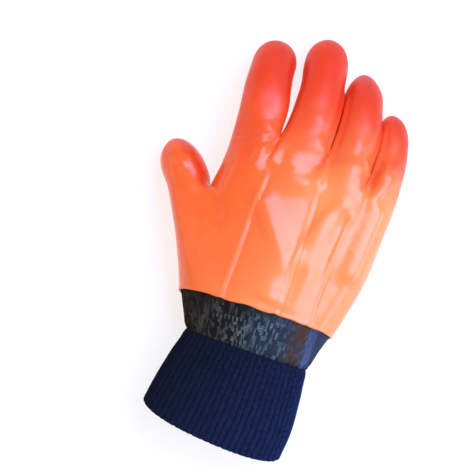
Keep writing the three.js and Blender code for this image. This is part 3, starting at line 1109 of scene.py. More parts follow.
@dataclass(frozen=True)
class Crowding:
    """Fingers that lie side by side swell towards each other until their flanks almost touch.

    It acts beyond a place in x and y, up to a slanted line near the shorter finger's tip, on what faces up or
    down by less than upright. A flank begins to move when the gap is within reach and moves fully at full.
    """

    beyond: tuple[float, float] = (2.0, 195.0)
    reach: float = 7.0
    full: float = 2.8
    left_open: float = 0.14
    slant: float = 0.42
    ends: tuple[float, float] = (260.0, 249.0)
    upright: float = 0.9
    start: float = 0.05

    def push(self, points: Array, quads: Array, normals: Array) -> Array:
        """Works out how far each point of the skin moves sideways.

        Args:
            points: The skin's points.
            quads: Its faces.
            normals: The direction that each point faces.

        Returns:
            The moves, level with the surface the glove lies on, in millimetres.
        """
        sideways = unit(normals * np.array([1.0, 1.0, 0.0]) + 1e-9)
        moves = np.zeros_like(points)
        tree = BVHTree.FromPolygons(points.tolist(), quads.tolist())
        crowded = (points[:, :2] > self.beyond).all(1) & (np.abs(normals[:, 2]) < self.upright)
        fade = smooth_step(points[:, 1] + self.slant * points[:, 0], *self.ends)
        for i in np.flatnonzero(crowded & (fade > 0.0)):
            start = Vector(points[i] + self.start * sideways[i])
            gap = tree.ray_cast(start, Vector(sideways[i]), self.reach)[3]
            if gap is not None:
                share = fade[i] * smooth_step(gap, self.reach, self.full)
                moves[i] = sideways[i] * share * max(gap / 2 - self.left_open, 0.0)
        return moves


# Materials


def linear(code: str) -> tuple[float, float, float, float]:
    """Turns an sRGB hex colour to linear.

    Args:
        code: Six hex digits.

    Returns:
        Red, green, blue and 1.
    """
    channels = [int(code[i : i + 2], 16) / 255 for i in (0, 2, 4)]
    light = [c / 12.92 if c <= 0.04045 else ((c + 0.055) / 1.055) ** 2.4 for c in channels]
    return (*light, 1.0)


def per_size(size: float) -> float:
    """Returns the texture scale that gives a pattern of this size in millimetres."""
    return 1.0 / (size * MM)


def add_node(tree: bpy.types.NodeTree, kind: str, settings: dict[str, Any], links: dict[Any, Any]) -> Any:
    """Adds a node with its settings and links.

    Args:
        tree: The node tree.
        kind: The node's type name.
        settings: The node's own properties.
        links: For each input, by name or number, a value or the output socket that feeds it.

    Returns:
        The node.
    """
    node = tree.nodes.new(kind)
    for name, value in settings.items():
        setattr(node, name, value)
    for name, value in links.items():
        if isinstance(value, bpy.types.NodeSocket):
            tree.links.new(value, node.inputs[name])
        else:
            node.inputs[name].default_value = value
    return node


def new_material(name: str) -> tuple[bpy.types.Material, bpy.types.NodeTree]:
    """Makes an empty node material.

    Args:
        name: The material's name.

    Returns:
        The material and its node tree.
    """
    material = bpy.data.materials.new(name)
    material.use_nodes = True
    material.node_tree.nodes.clear()
    return material, material.node_tree


# Sockets of a colour mix: 0 is the share, 6 and 7 the colours. Of a range: 0 the value, 1 and 2 to 3 and 4.
COLOUR_MIX = ("ShaderNodeMix", {"data_type": "RGBA"})
SOFT_RANGE = ("ShaderNodeMapRange", {"interpolation_type": "SMOOTHSTEP"})
PRODUCT = ("ShaderNodeMath", {"operation": "MULTIPLY"})
SUM = ("ShaderNodeMath", {"operation": "ADD"})
CLAMPED_SUM = ("ShaderNodeMath", {"operation": "ADD", "use_clamp": True})
DIFFERENCE = ("ShaderNodeMath", {"operation": "SUBTRACT"})
PRODUCT_SUM = ("ShaderNodeMath", {"operation": "MULTIPLY_ADD"})
GREATER = ("ShaderNodeMath", {"operation": "MAXIMUM"})
Ramp = tuple[float, float, float, float]  # from and to, and what it gives at each


def ramped(value: Any, ramp: Ramp) -> dict[int, Any]:
    """Returns the links of a range node that reads a value."""
    return dict(enumerate((value, *ramp)))


def read_place(tree: bpy.types.NodeTree, shift: Array) -> tuple[Any, Any, Any]:
    """Adds the nodes that tell where on the glove a point lies.

    Args:
        tree: The node tree.
        shift: The frame's place for the measuring frame's zero, in millimetres.

    Returns:
        The place in the frame in metres, and x and y in the measuring frame in millimetres.
    """
    place = add_node(tree, "ShaderNodeTexCoord", {}, {}).outputs["Object"]
    scaled = {0: place, 1: (1 / MM,) * 3, 2: tuple(-shift)}
    plan = add_node(tree, "ShaderNodeVectorMath", {"operation": "MULTIPLY_ADD"}, scaled).outputs[0]
    split = add_node(tree, "ShaderNodeSeparateXYZ", {}, {0: plan}).outputs
    return place, split["X"], split["Y"]


def thinned(tree: bpy.types.NodeTree, share: Any, fades: Sequence[tuple[Any, Ramp]]) -> Any:
    """Multiplies a share by soft ramps.

    Args:
        tree: The node tree.
        share: A number or the socket that gives it.
        fades: For each ramp, the value that it reads and its numbers.

    Returns:
        The product's socket.
    """
    for value, ramp in fades:
        part = add_node(tree, *SOFT_RANGE, ramped(value, ramp)).outputs[0]
        share = add_node(tree, *PRODUCT, {0: share, 1: part}).outputs[0]
    return share


def finished(material: bpy.types.Material, shader: dict[str, Any]) -> bpy.types.Material:
    """Gives a material its surface shader and its output.

    Args:
        material: The material.
        shader: The shader's links, by input.

    Returns:
        The same material.
    """
    tree = material.node_tree
    surface = add_node(tree, "ShaderNodeBsdfPrincipled", {}, shader).outputs["BSDF"]
    add_node(tree, "ShaderNodeOutputMaterial", {}, {"Surface": surface})
    return material


@dataclass(frozen=True)
class SoftPvc:
    """Plasticised PVC, dipped in layers over a lined former and cured.

    It gives the eye a thick even colour with a soft gloss and a faint orange peel. It is painted paler
    towards the little finger and down to the hem, as painted light on the side that the lights fall on,
    and soft clouds make it a little paler or deeper. On the seams' crests it is paler, partly where the
    coat is thin and partly as a painted highlight. The fingertips and the index finger are painted deeper,
    as painted shade where they turn away from the lights, and the tips are duller. The sides that face
    the fingertips, such as the ends of the tips, the thumb's flank and the webs, are painted almost red
    as painted shade.
    """

    base: str = "ff6626"
    # painted light: the paler orange towards the little finger and down to the hem
    pale: str = "ff904c"
    # painted shade: the deeper red of the fingertips and the index finger, which turn away from the lights
    deep: str = "ee380c"
    # painted shade: the almost red of the sides that face the fingertips, the thumb's flank and the webs
    flank_shade_red: str = "da2a06"
    # the seams' crests: paler partly for the thinner coat there and partly as a painted highlight
    seam: str = "ff9456"
    # painted light: where the coat is painted paler, across the hand and down to the hem
    painted_light_across: Ramp = (-45.0, 30.0, 0.0, 1.0)
    painted_light_down: Ramp = (165.0, 70.0, 0.0, 0.38)
    pale_clouds: Ramp = (0.3, 0.7, -0.12, 0.12)
    # painted shade: where the fingertips and the index finger are painted deeper
    tip_shade_up: Ramp = (172.0, 256.0, 0.0, 1.0)
    index_shade_across: Ramp = (-12.0, -40.0, 0.0, 0.6)
    index_shade_up: Ramp = (165.0, 212.0, 0.0, 1.0)
    # painted shade: how far a side that faces the fingertips is painted almost red
    flank_shade_ramp: Ramp = (0.3, 0.8, 0.0, 0.9)
    crests: Ramp = (0.2, 1.0, 0.0, 0.5)
    roughness: Ramp = (0.3, 0.7, 0.21, 0.29)
    dull_tips: Ramp = (0.0, 1.0, 0.0, 0.19)
    smear: float = 9.0
    peel: float = 1.1
    peel_depth: float = 0.02
    cloud: float = 38.0
    ior: float = 1.5
    glow_share: float = 0.1
    glow_depth: float = 3.5
    glow_radii: tuple[float, float, float] = (1.0, 0.35, 0.12)

    def material(self, shift: Array) -> bpy.types.Material:
        """Builds the material.

        Args:
            shift: The frame's place for the measuring frame's zero, in millimetres.

        Returns:
            The material.
        """
        material, tree = new_material("orange soft PVC")
        place, across, along = read_place(tree, shift)
        noises = []
        for size, detail in ((self.cloud, 1.0), (self.smear, 3.0), (self.peel, 1.0)):
            pattern = {"Vector": place, "Scale": per_size(size), "Detail": detail}
            noises.append(add_node(tree, "ShaderNodeTexNoise", {}, pattern).outputs["Fac"])
        cloud, smear, peel = noises
        crest, tipward = (
            add_node(tree, "ShaderNodeAttribute", {"attribute_name": name}, {}).outputs["Fac"]
            for name in ("crest", "tipward")
        )
        # painted light: paler towards the little finger and down to the hem, with soft clouds of tone on top
        pale = add_node(tree, *SOFT_RANGE, ramped(across, self.painted_light_across)).outputs[0]
        for value, ramp in ((cloud, self.pale_clouds), (along, self.painted_light_down)):
            more = add_node(tree, *SOFT_RANGE, ramped(value, ramp)).outputs[0]
            pale = add_node(tree, *CLAMPED_SUM, {0: pale, 1: more}).outputs[0]
        # painted shade at the fingertips and on the index finger; the same mask also dulls the tips
        tip_shade_and_dullness = add_node(tree, *SOFT_RANGE, ramped(along, self.tip_shade_up)).outputs[0]
        index = thinned(tree, 1.0, ((across, self.index_shade_across), (along, self.index_shade_up)))
        tip_shade_and_dullness = add_node(tree, *GREATER, {0: index, 1: tip_shade_and_dullness}).outputs[0]
        # painted shade on the sides that face the fingertips
        flank_shade = add_node(tree, *SOFT_RANGE, ramped(tipward, self.flank_shade_ramp)).outputs[0]
        # paler on the seams' crests, partly thinner coat and partly a painted highlight
        crest = add_node(tree, *SOFT_RANGE, ramped(crest, self.crests)).outputs[0]
        colour = linear(self.base)
        for share, code in ((pale, self.pale), (tip_shade_and_dullness, self.deep), (flank_shade, self.flank_shade_red), (crest, self.seam)):
            colour = add_node(tree, *COLOUR_MIX, {0: share, 6: colour, 7: linear(code)}).outputs[2]
        rough = add_node(tree, *SOFT_RANGE, ramped(smear, self.roughness)).outputs[0]
        dull = add_node(tree, *SOFT_RANGE, ramped(tip_shade_and_dullness, self.dull_tips)).outputs[0]
        bump = {"Height": peel, "Distance": self.peel_depth * MM}
        shader = {
            "Base Color": colour,
            "Roughness": add_node(tree, *SUM, {0: rough, 1: dull}).outputs[0],
            "IOR": self.ior,
            "Normal": add_node(tree, "ShaderNodeBump", {}, bump).outputs["Normal"],
            "Subsurface Weight": self.glow_share,
            "Subsurface Radius": self.glow_radii,
            "Subsurface Scale": self.glow_depth * MM,
        }
        return finished(material, shader)


@dataclass(frozen=True)
class FoamedJersey:
    """Brushed cotton jersey, the inside of the coat. It gives the eye a dull warm cream with a soft pile."""

    base: str = "cdb79a"
    shade: str = "a58c6c"
    pile: float = 1.6
    pile_depth: float = 0.4
    patches: Ramp = (0.3, 0.7, 0.0, 1.0)

    def material(self) -> bpy.types.Material:
        """Builds the material.

        Returns:
            The material.
        """
        material, tree = new_material("foamed jersey")
        place = add_node(tree, "ShaderNodeTexCoord", {}, {}).outputs["Object"]
        pile = {"Vector": place, "Scale": per_size(self.pile), "Detail": 4.0}
        pile = add_node(tree, "ShaderNodeTexNoise", {}, pile).outputs["Fac"]
        share = add_node(tree, *SOFT_RANGE, ramped(pile, self.patches)).outputs[0]
        colour = {0: share, 6: linear(self.shade), 7: linear(self.base)}
        colour = add_node(tree, *COLOUR_MIX, colour).outputs[2]
        bump = {"Height": pile, "Distance": self.pile_depth * MM}
        bump = add_node(tree, "ShaderNodeBump", {}, bump).outputs["Normal"]
        shader = {"Base Color": colour, "Roughness": 0.95, "Sheen Weight": 0.3, "Normal": bump}
        return finished(material, shader)


@dataclass(frozen=True)
class SoakedDip:
    """The first dark dip, a thin black compound that has soaked into the knit.

    It gives the eye a brown-black skin in which the stitches stand as flecks, each a little different: olive
    at the thumb's side, grey-green next to it, then teal on slate, and towards the little finger a smear of
    rust brown runs down. There the skin and the flecks are also painted bluer, and a strip down the side is
    painted blue with few flecks, as a painted reflection of the lights on the glossy dip. It thins out to
    the bare navy knit at its foot.
    """

    brown: str = "0f0a06"
    black: str = "0c0b08"
    fleck: str = "767c6c"
    dull: str = "4a4024"
    teal: str = "74909c"
    slate: str = "242c30"
    # painted reflection: the bluish sheen of the lights on the glossy dip
    blue: str = "50587c"
    bare: str = "111631"
    rust: str = "4a3226"
    from_brown: Ramp = (-40.0, -6.0, 0.0, 1.0)
    from_black: Ramp = (-14.0, 8.0, 0.0, 1.0)
    # painted reflection: bluer towards the little finger, most of all in the strip down the side
    reflection_across: Ramp = (2.0, 30.0, 0.0, 0.32)
    streak: tuple[Ramp, Ramp] = ((35.5, 38.0, 0.0, 0.8), (39.5, 42.5, 1.0, 0.0))
    reflection_on_skin: Ramp = (0.0, 1.0, 0.0, 0.55)
    reflection_on_flecks: Ramp = (0.0, 1.0, 0.0, 0.7)
    fleck_patches: Ramp = (0.35, 0.62, 0.45, 1.0)
    under_hem: Ramp = (HEM - 4.0, HEM + 4.0, 1.0, 0.3)
    # few flecks in the strip of the painted reflection
    flecks_under_reflection: Ramp = (37.0, 42.0, 1.0, 0.1)
    rust_strip: tuple[Ramp, Ramp] = ((21.0, 29.0, 0.0, 1.0), (33.0, 37.0, 1.0, 0.0))
    rust_patches: Ramp = (0.35, 0.6, 0.5, 0.95)
    soaked: Ramp = (DIP_FOOT + 2.0, DIP_FOOT + 6.0, 0.0, 1.0)
    ragged: float = 7.0
    roughness: Ramp = (0.0, 1.0, 0.9, 0.62)
    fine: float = 1.6
    fine_depth: float = 0.15
    wide: float = 13.0
    stitches: bool = False

    def material(self, shift: Array) -> bpy.types.Material:
        """Builds the material.

        Args:
            shift: The frame's place for the measuring frame's zero, in millimetres.

        Returns:
            The material.
        """
        material, tree = new_material("soaked first dip, stitches" if self.stitches else "soaked first dip")
        place, across, along = read_place(tree, shift)
        noises = []
        for size, detail in ((self.fine, 3.0), (self.wide, 2.0)):
            pattern = {"Vector": place, "Scale": per_size(size), "Detail": detail}
            noises.append(add_node(tree, "ShaderNodeTexNoise", {}, pattern).outputs["Fac"])
        fine, wide = noises
        middle, teal, right = (
            add_node(tree, *SOFT_RANGE, ramped(across, ramp)).outputs[0]
            for ramp in (self.from_brown, self.from_black, self.reflection_across)
        )
        # painted reflection: a blue strip down the side, on a skin that grows bluer towards the little finger
        streak = thinned(tree, 1.0, [(across, ramp) for ramp in self.streak])
        right = add_node(tree, *SUM, {0: streak, 1: right}).outputs[0]
        reflection_share = add_node(tree, *SOFT_RANGE, ramped(right, self.reflection_on_skin)).outputs[0]
        colour = linear(self.brown)
        for share, code in ((middle, self.black), (teal, self.slate), (reflection_share, self.blue)):
            colour = add_node(tree, *COLOUR_MIX, {0: share, 6: colour, 7: linear(code)}).outputs[2]
        if self.stitches:
            tone = add_node(tree, "ShaderNodeAttribute", {"attribute_name": "tone"}, {}).outputs["Fac"]
            # the flecks take the painted reflection too
            reflection_share = add_node(tree, *SOFT_RANGE, ramped(right, self.reflection_on_flecks)).outputs[0]
            flecks = linear(self.dull)
            for share, code in ((middle, self.fleck), (teal, self.teal), (reflection_share, self.blue)):
                flecks = add_node(tree, *COLOUR_MIX, {0: share, 6: flecks, 7: linear(code)}).outputs[2]
            fades = ((wide, self.fleck_patches), (along, self.under_hem), (across, self.flecks_under_reflection))
            share = thinned(tree, tone, fades)
            colour = add_node(tree, *COLOUR_MIX, {0: share, 6: colour, 7: flecks}).outputs[2]
        strip = [(across, ramp) for ramp in self.rust_strip]
        rusty = thinned(tree, 1.0, [(wide, self.rust_patches), *strip])
        colour = add_node(tree, *COLOUR_MIX, {0: rusty, 6: colour, 7: linear(self.rust)}).outputs[2]
        edge = add_node(tree, *PRODUCT_SUM, {0: fine, 1: self.ragged, 2: along}).outputs[0]
        soak = add_node(tree, *SOFT_RANGE, ramped(edge, self.soaked)).outputs[0]
        colour = add_node(tree, *COLOUR_MIX, {0: soak, 6: linear(self.bare), 7: colour}).outputs[2]
        rough = add_node(tree, *SOFT_RANGE, ramped(soak, self.roughness)).outputs[0]
        bump = {"Height": fine, "Distance": self.fine_depth * MM}
        bump = add_node(tree, "ShaderNodeBump", {}, bump).outputs["Normal"]
        shader = {"Base Color": colour, "Roughness": rough, "Specular IOR Level": 0.18, "Normal": bump}
        return finished(material, shader)


@dataclass(frozen=True)
class KnitYarn:
    """Spun acrylic yarn, rib knitted.

    It gives the eye a matt navy with each stitch lighter or darker, and almost black between the ribs. The
    yarn and its stitches are painted lighter towards the little finger's side, as painted light where the
    lights fall, and the yarn grows lighter down towards the foot.
    """

    base: str = "0d121f"
    # painted light: the lighter navy towards the little finger's side and the foot
    lit_navy: str = "14203c"
    deep: str = "070a17"
    # painted light: the lighter colour of the stitches towards the little finger's side
    light: str = "213058"
    # painted light: how far the yarn and the stitches grow lighter across the wrist
    lit_side: Ramp = (-110.0, 20.0, 0.0, 1.0)
    shaded: Ramp = (0.4, 0.65, 0.0, 1.0)
    lit: Ramp = (-40.0, 35.0, 0.2, 0.75)
    fibre: float = 0.7
    fibre_depth: float = 0.25
    stitches: bool = False

    def material(self, shift: Array) -> bpy.types.Material:
        """Builds the material.

        Args:
            shift: The frame's place for the measuring frame's zero, in millimetres.

        Returns:
            The material.
        """
        material, tree = new_material("navy knit yarn, stitches" if self.stitches else "navy knit yarn")
        place, across, along = read_place(tree, shift)
        fibre = {"Vector": place, "Scale": per_size(self.fibre), "Detail": 3.0}
        fibre = add_node(tree, "ShaderNodeTexNoise", {}, fibre).outputs["Fac"]
        # painted light: lighter towards the little finger's side and down towards the foot
        down = add_node(tree, *DIFFERENCE, {0: across, 1: along}).outputs[0]
        lit_side = add_node(tree, *SOFT_RANGE, ramped(down, self.lit_side)).outputs[0]
        colour = {0: lit_side, 6: linear(self.base), 7: linear(self.lit_navy)}
        colour = add_node(tree, *COLOUR_MIX, colour).outputs[2]
        if self.stitches:
            tone = add_node(tree, "ShaderNodeAttribute", {"attribute_name": "tone"}, {}).outputs["Fac"]
            # painted light: the stitches grow lighter towards the little finger's side, each by its own tone
            share = thinned(tree, tone, ((across, self.lit),))
            colour = add_node(tree, *COLOUR_MIX, {0: share, 6: colour, 7: linear(self.light)}).outputs[2]
        else:
            share = add_node(tree, *SOFT_RANGE, ramped(fibre, self.shaded)).outputs[0]
            colour = add_node(tree, *COLOUR_MIX, {0: share, 6: linear(self.deep), 7: colour}).outputs[2]
        bump = {"Height": fibre, "Distance": self.fibre_depth * MM}
        bump = add_node(tree, "ShaderNodeBump", {}, bump).outputs["Normal"]
        shader = {"Base Color": colour, "Roughness": 0.9, "Specular IOR Level": 0.15, "Normal": bump}
        return finished(material, shader)


# Stitches, which Geometry Nodes set on points of the surface


@dataclass(frozen=True)
class StitchPattern:
    """A field of knit stitches, each a V of two short yarn legs. Sizes are in millimetres.

    A leg stands leg_spacing of a wale beside the middle, and half its length is leg_length of a course.
    """

    name: str
    wale: float
    course: float
    yarn: float
    slant: float = 24.0
    unevenness: float = 0.12
    seed: int = 7
    leg_spacing: float = 0.25
    leg_length: float = 0.78

    def tree(self) -> bpy.types.NodeTree:
        """Builds the node tree.

        Returns:
            The tree, whose inputs are named for what they size.
        """
        tree = bpy.data.node_groups.new(self.name, "GeometryNodeTree")
        sizes = ("Leg spacing", "Leg length", "Yarn width", "Slant", "Unevenness")
        inputs = {"Points": "Geometry"} | dict.fromkeys(sizes, "Float") | {"Seed": "Int", "Yarn": "Material"}
        for name, kind in inputs.items():
            tree.interface.new_socket(name, in_out="INPUT", socket_type="NodeSocket" + kind)
        tree.interface.new_socket("Stitches", in_out="OUTPUT", socket_type="NodeSocketGeometry")
        given = add_node(tree, "NodeGroupInput", {}, {}).outputs
        ball = {"Segments": 4, "Rings": 3, "Radius": 1.0}
        leg = add_node(tree, "GeometryNodeMeshUVSphere", {}, ball).outputs["Mesh"]
        size = {"X": given["Yarn width"], "Y": given["Yarn width"], "Z": given["Leg length"]}
        scale = add_node(tree, "ShaderNodeCombineXYZ", {}, size).outputs["Vector"]
        legs = []
        for side in (-1.0, 1.0):
            aside = add_node(tree, *PRODUCT, {0: given["Leg spacing"], 1: side}).outputs[0]
            lean = add_node(tree, *PRODUCT, {0: given["Slant"], 1: -side}).outputs[0]
            move = add_node(tree, "ShaderNodeCombineXYZ", {}, {"X": aside}).outputs["Vector"]
            turn = add_node(tree, "ShaderNodeCombineXYZ", {}, {"X": math.pi / 2, "Z": lean}).outputs["Vector"]
            made = {"Geometry": leg, "Translation": move, "Rotation": turn, "Scale": scale}
            legs.append(add_node(tree, "GeometryNodeTransform", {}, made).outputs["Geometry"])
        stitch = add_node(tree, "GeometryNodeJoinGeometry", {}, {})
        for leg in legs:
            tree.links.new(leg, stitch.inputs["Geometry"])
        vector = {"data_type": "FLOAT_VECTOR"}
        wale_way, outward_way, spread = (
            add_node(tree, "GeometryNodeInputNamedAttribute", vector, {"Name": name}).outputs["Attribute"]
            for name in ("wale_way", "outward", "spread")
        )
        turn = None
        first, second = {"axis": "Y"}, {"axis": "Z", "pivot_axis": "Y"}
        for axes, way in ((first, wale_way), (second, outward_way)):
            facing = {"Vector": way} if turn is None else {"Vector": way, "Rotation": turn}
            turn = add_node(tree, "FunctionNodeAlignRotationToVector", axes, facing).outputs["Rotation"]
        least = add_node(tree, *DIFFERENCE, {0: 1.0, 1: given["Unevenness"]}).outputs[0]
        most = add_node(tree, *SUM, {0: 1.0, 1: given["Unevenness"]}).outputs[0]
        span = {2: least, 3: most, "Seed": given["Seed"]}
        chance = add_node(tree, "FunctionNodeRandomValue", {"data_type": "FLOAT"}, span).outputs[1]
        sized = {0: spread, "Scale": chance}
        sized = add_node(tree, "ShaderNodeVectorMath", {"operation": "SCALE"}, sized).outputs["Vector"]
        spots = {"Points": given["Points"], "Instance": stitch.outputs["Geometry"]}
        spots |= {"Rotation": turn, "Scale": sized}
        placed = add_node(tree, "GeometryNodeInstanceOnPoints", {}, spots)
        real = add_node(tree, "GeometryNodeRealizeInstances", {}, {"Geometry": placed.outputs["Instances"]})
        dressed = {"Geometry": real.outputs["Geometry"], "Material": given["Yarn"]}
        dress = add_node(tree, "GeometryNodeSetMaterial", {}, dressed)
        add_node(tree, "NodeGroupOutput", {}, {"Stitches": dress.outputs["Geometry"]})
        return tree

    def knitted(self, spots: StitchSpots, shift: Array, yarn: bpy.types.Material) -> bpy.types.Object:
        """Sets a stitch on each spot.

        Args:
            spots: Where the stitches go.
            shift: The frame's place for the measuring frame's zero.
            yarn: Their finish.

        Returns:
            The stitches as one plain mesh object.
        """
        mesh = bpy.data.meshes.new(self.name + " spots")
        mesh.from_pydata(((spots.places + shift) * MM).tolist(), [], [])
        ones = np.ones(len(spots.stretch))
        spread = np.column_stack([spots.stretch, ones, ones])
        for name, vectors in (("wale_way", spots.wale_way), ("outward", spots.outward), ("spread", spread)):
            data = np.ascontiguousarray(vectors, np.float32).ravel()
            mesh.attributes.new(name, "FLOAT_VECTOR", "POINT").data.foreach_set("vector", data)
        tone = spots.tone.astype(np.float32)
        mesh.attributes.new("tone", "FLOAT", "POINT").data.foreach_set("value", tone)
        piece = in_scene(self.name, mesh)
        nodes = piece.modifiers.new(self.name, "NODES")
        nodes.node_group = self.tree()
        sizes = {
            "Leg spacing": self.wale * self.leg_spacing * MM,
            "Leg length": self.course * self.leg_length * MM,
            "Yarn width": self.yarn / 2 * MM,
            "Slant": math.radians(self.slant),
            "Unevenness": self.unevenness,
            "Seed": self.seed,
            "Yarn": yarn,
        }
        for item in nodes.node_group.interface.items_tree:
            if item.in_out == "INPUT" and item.name in sizes:
                nodes[item.identifier] = sizes[item.name]
        bpy.context.view_layer.update()
        real = as_shown(piece)
        piece.modifiers.remove(nodes)
        piece.data = real
        bpy.data.meshes.remove(mesh)
        return piece


@dataclass
class StitchSpots:
    """Where stitches go, the way the wales run and the way out, how wide each is drawn, and its tone."""

    places: Array
    wale_way: Array
    outward: Array
    stretch: Array
    tone: Array


def joined(name: str, parts: Sequence[bpy.types.Object]) -> bpy.types.Object:
    """Joins objects into the first one.

    Args:
        name: The joined object's name.
        parts: The objects.

    Returns:
        The joined object.
    """
    first, every = parts[0], list(parts)
    chosen = {"active_object": first, "object": first, "selected_objects": every}
    with bpy.context.temp_override(**chosen, selected_editable_objects=every):
        bpy.ops.object.join()
    first.name = name
    first.data.name = name
    return first


def hand_in(piece: bpy.types.Object, node: str) -> None:
    """Ties a finished piece to the frame.

    Args:
        piece: The piece.
        node: The solid that it stands for.
    """
    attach(piece, "root")
    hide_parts(node)
    triangles = sum(len(face.vertices) - 2 for face in piece.data.polygons)
    log.info("%s: %d triangles", piece.name, triangles)


# The pieces


@dataclass
class OrangeCoat:
    """The orange hand: a finely sculpted skin, a rounded hem and a plainer lining.

    The relief fades in as the skin faces up. The whole upper side is a little uneven besides, each unevenness
    with its height, its size and its seed.
    """

    shift: Array
    outer_level: int = 4
    inner_level: int = 3
    faces_up: tuple[float, float] = (0.2, 0.55)
    uneven: tuple[tuple[float, float, float], ...] = ((0.3, 21.0, 3.0), (0.08, 6.0, 5.0))
    uneven_above: tuple[float, float] = (0.0, 6.0)
    hem_bead: float = 0.35
    bead_rows: float = 0.07
    hem_waver: float = 0.55
    waver_size: float = 15.0
    lip_steps: int = 5
    # the sides that face this way are painted in shade by the coat's finish
    tipward: tuple[float, float, float] = (0.45, 0.89, 0.0)
    seams: SeamRelief = field(default_factory=SeamRelief)
    crowding: Crowding = field(default_factory=Crowding)
    finish: SoftPvc = field(default_factory=SoftPvc)
    lining: FoamedJersey = field(default_factory=FoamedJersey)

    def sculpted(self, skin: Skin) -> tuple[Array, Array, Array]:
        """Lays the seams, folds, swells and puckers on the skin.

        Args:
            skin: The smooth skin.

        Returns:
            The sculpted points, how near each is to a seam's crest, and how far each faces the fingertips.
        """
        points = drawn_to_seams(skin, self.seams)
        normals = outward(points, skin.quads)
        plan = points[:, :2]
        back = smooth_step(normals[:, 2], *self.faces_up) * (skin.rows >= HEM_ROW)
        lift = self.seams.rise(plan)
        for form in (*FOLDS, *SWELLS, *PUCKERS):
            lift += form.rise(plan)
        lift *= back
        soft = sum(height * softly_uneven(points, size, seed) for height, size, seed in self.uneven)
        lift += soft * smooth_step(points[:, 2], *self.uneven_above)
        lift += self.hem_bead * np.exp(-(((skin.rows - HEM_ROW) / self.bead_rows) ** 2))
        points = points + normals * lift[:, None] + self.crowding.push(points, skin.quads, normals)
        return points, back * self.seams.ridge_share(plan), normals @ self.tipward

    def wavered(self, points: Array, rows: Array) -> Array:
        """Draws the hem slightly unevenly.

        Args:
            points: The points of a skin.
            rows: The row of each.

        Returns:
            The moved points.
        """
        along = self.hem_waver * softly_uneven(points * (1.0, 0.0, 1.0), self.waver_size, 11.0)
        moved = points.copy()
        moved[:, 1] += along * smooth_step(rows, HEM_ROW + 0.5, HEM_ROW)
        return moved

    def build(self) -> bpy.types.Object:
        """Builds and dresses the coat.

        Returns:
            The finished piece.
        """
        fine, plain = smooth_skin(self.outer_level), smooth_skin(self.inner_level)
        sculpted, crest, tipward = self.sculpted(fine)
        sculpted = self.wavered(sculpted, fine.rows)
        wall = HEM_WALL + (COAT_WALL - HEM_WALL) * smooth_step(plain.rows, HEM_ROW, LAP_ROW)
        inside = self.wavered(plain.under(wall), plain.rows)
        surface = Surface()
        used, quads = part_of(fine, fine.floors >= HEM_ROW)
        surface.add_points(sculpted[used], crest=crest[used], tipward=tipward[used])
        surface.add_faces(quads)
        inner_used, inner_quads = part_of(plain, plain.floors >= HEM_ROW)
        first = surface.add_points(inside[inner_used])
        surface.add_faces(inner_quads[:, ::-1] + first, slot=1)
        self.close_hem(surface, sculpted[used], quads, inside[inner_used], inner_quads, first)
        finishes = (self.finish.material(self.shift), self.lining.material())
        piece = surface.piece("pvc_hand", self.shift, finishes)
        hand_in(piece, "orange_coat")
        return piece

    def close_hem(
        self, surface: Surface, outside: Array, quads: Array, inside: Array, inner_quads: Array, first: int
    ) -> None:
        """Rounds the hem over from the outside to the lining.

        Args:
            surface: The coat's surface so far, which starts with its outside.
            outside: The points of the outside.
            quads: Its quads.
            inside: The points of the lining.
            inner_quads: Its quads.
            first: The number of the lining's first point in the surface.
        """
        inner_loop = rim_loops(inner_quads)[0]
        outer_loop = turned_to(rim_loops(quads)[0], outside, inside[inner_loop[0]])
        over, under = outside[outer_loop], np.repeat(inside[inner_loop], 2, axis=0)
        under[1::2] = (under[::2] + np.roll(under[::2], -1, axis=0)) / 2
        down = unit(np.cross(over - under, np.roll(over, -1, axis=0) - np.roll(over, 1, axis=0)))
        down *= np.where(down[:, 1:2] > 0, -1.0, 1.0)
        last = np.array(outer_loop)
        for ring in rounded(over, under, down, self.lip_steps):
            lower = surface.add_points(ring) + np.arange(len(ring))
            surface.add_band(last, lower)
            last = lower
        half = np.array(inner_loop) + first
        corners = zip(last[::2], last[1::2], np.roll(last[::2], -1), half, np.roll(half, -1))
        for a, b, c, this, after in corners:
            surface.add_faces([[b, a, this], [b, this, after], [c, b, after]])


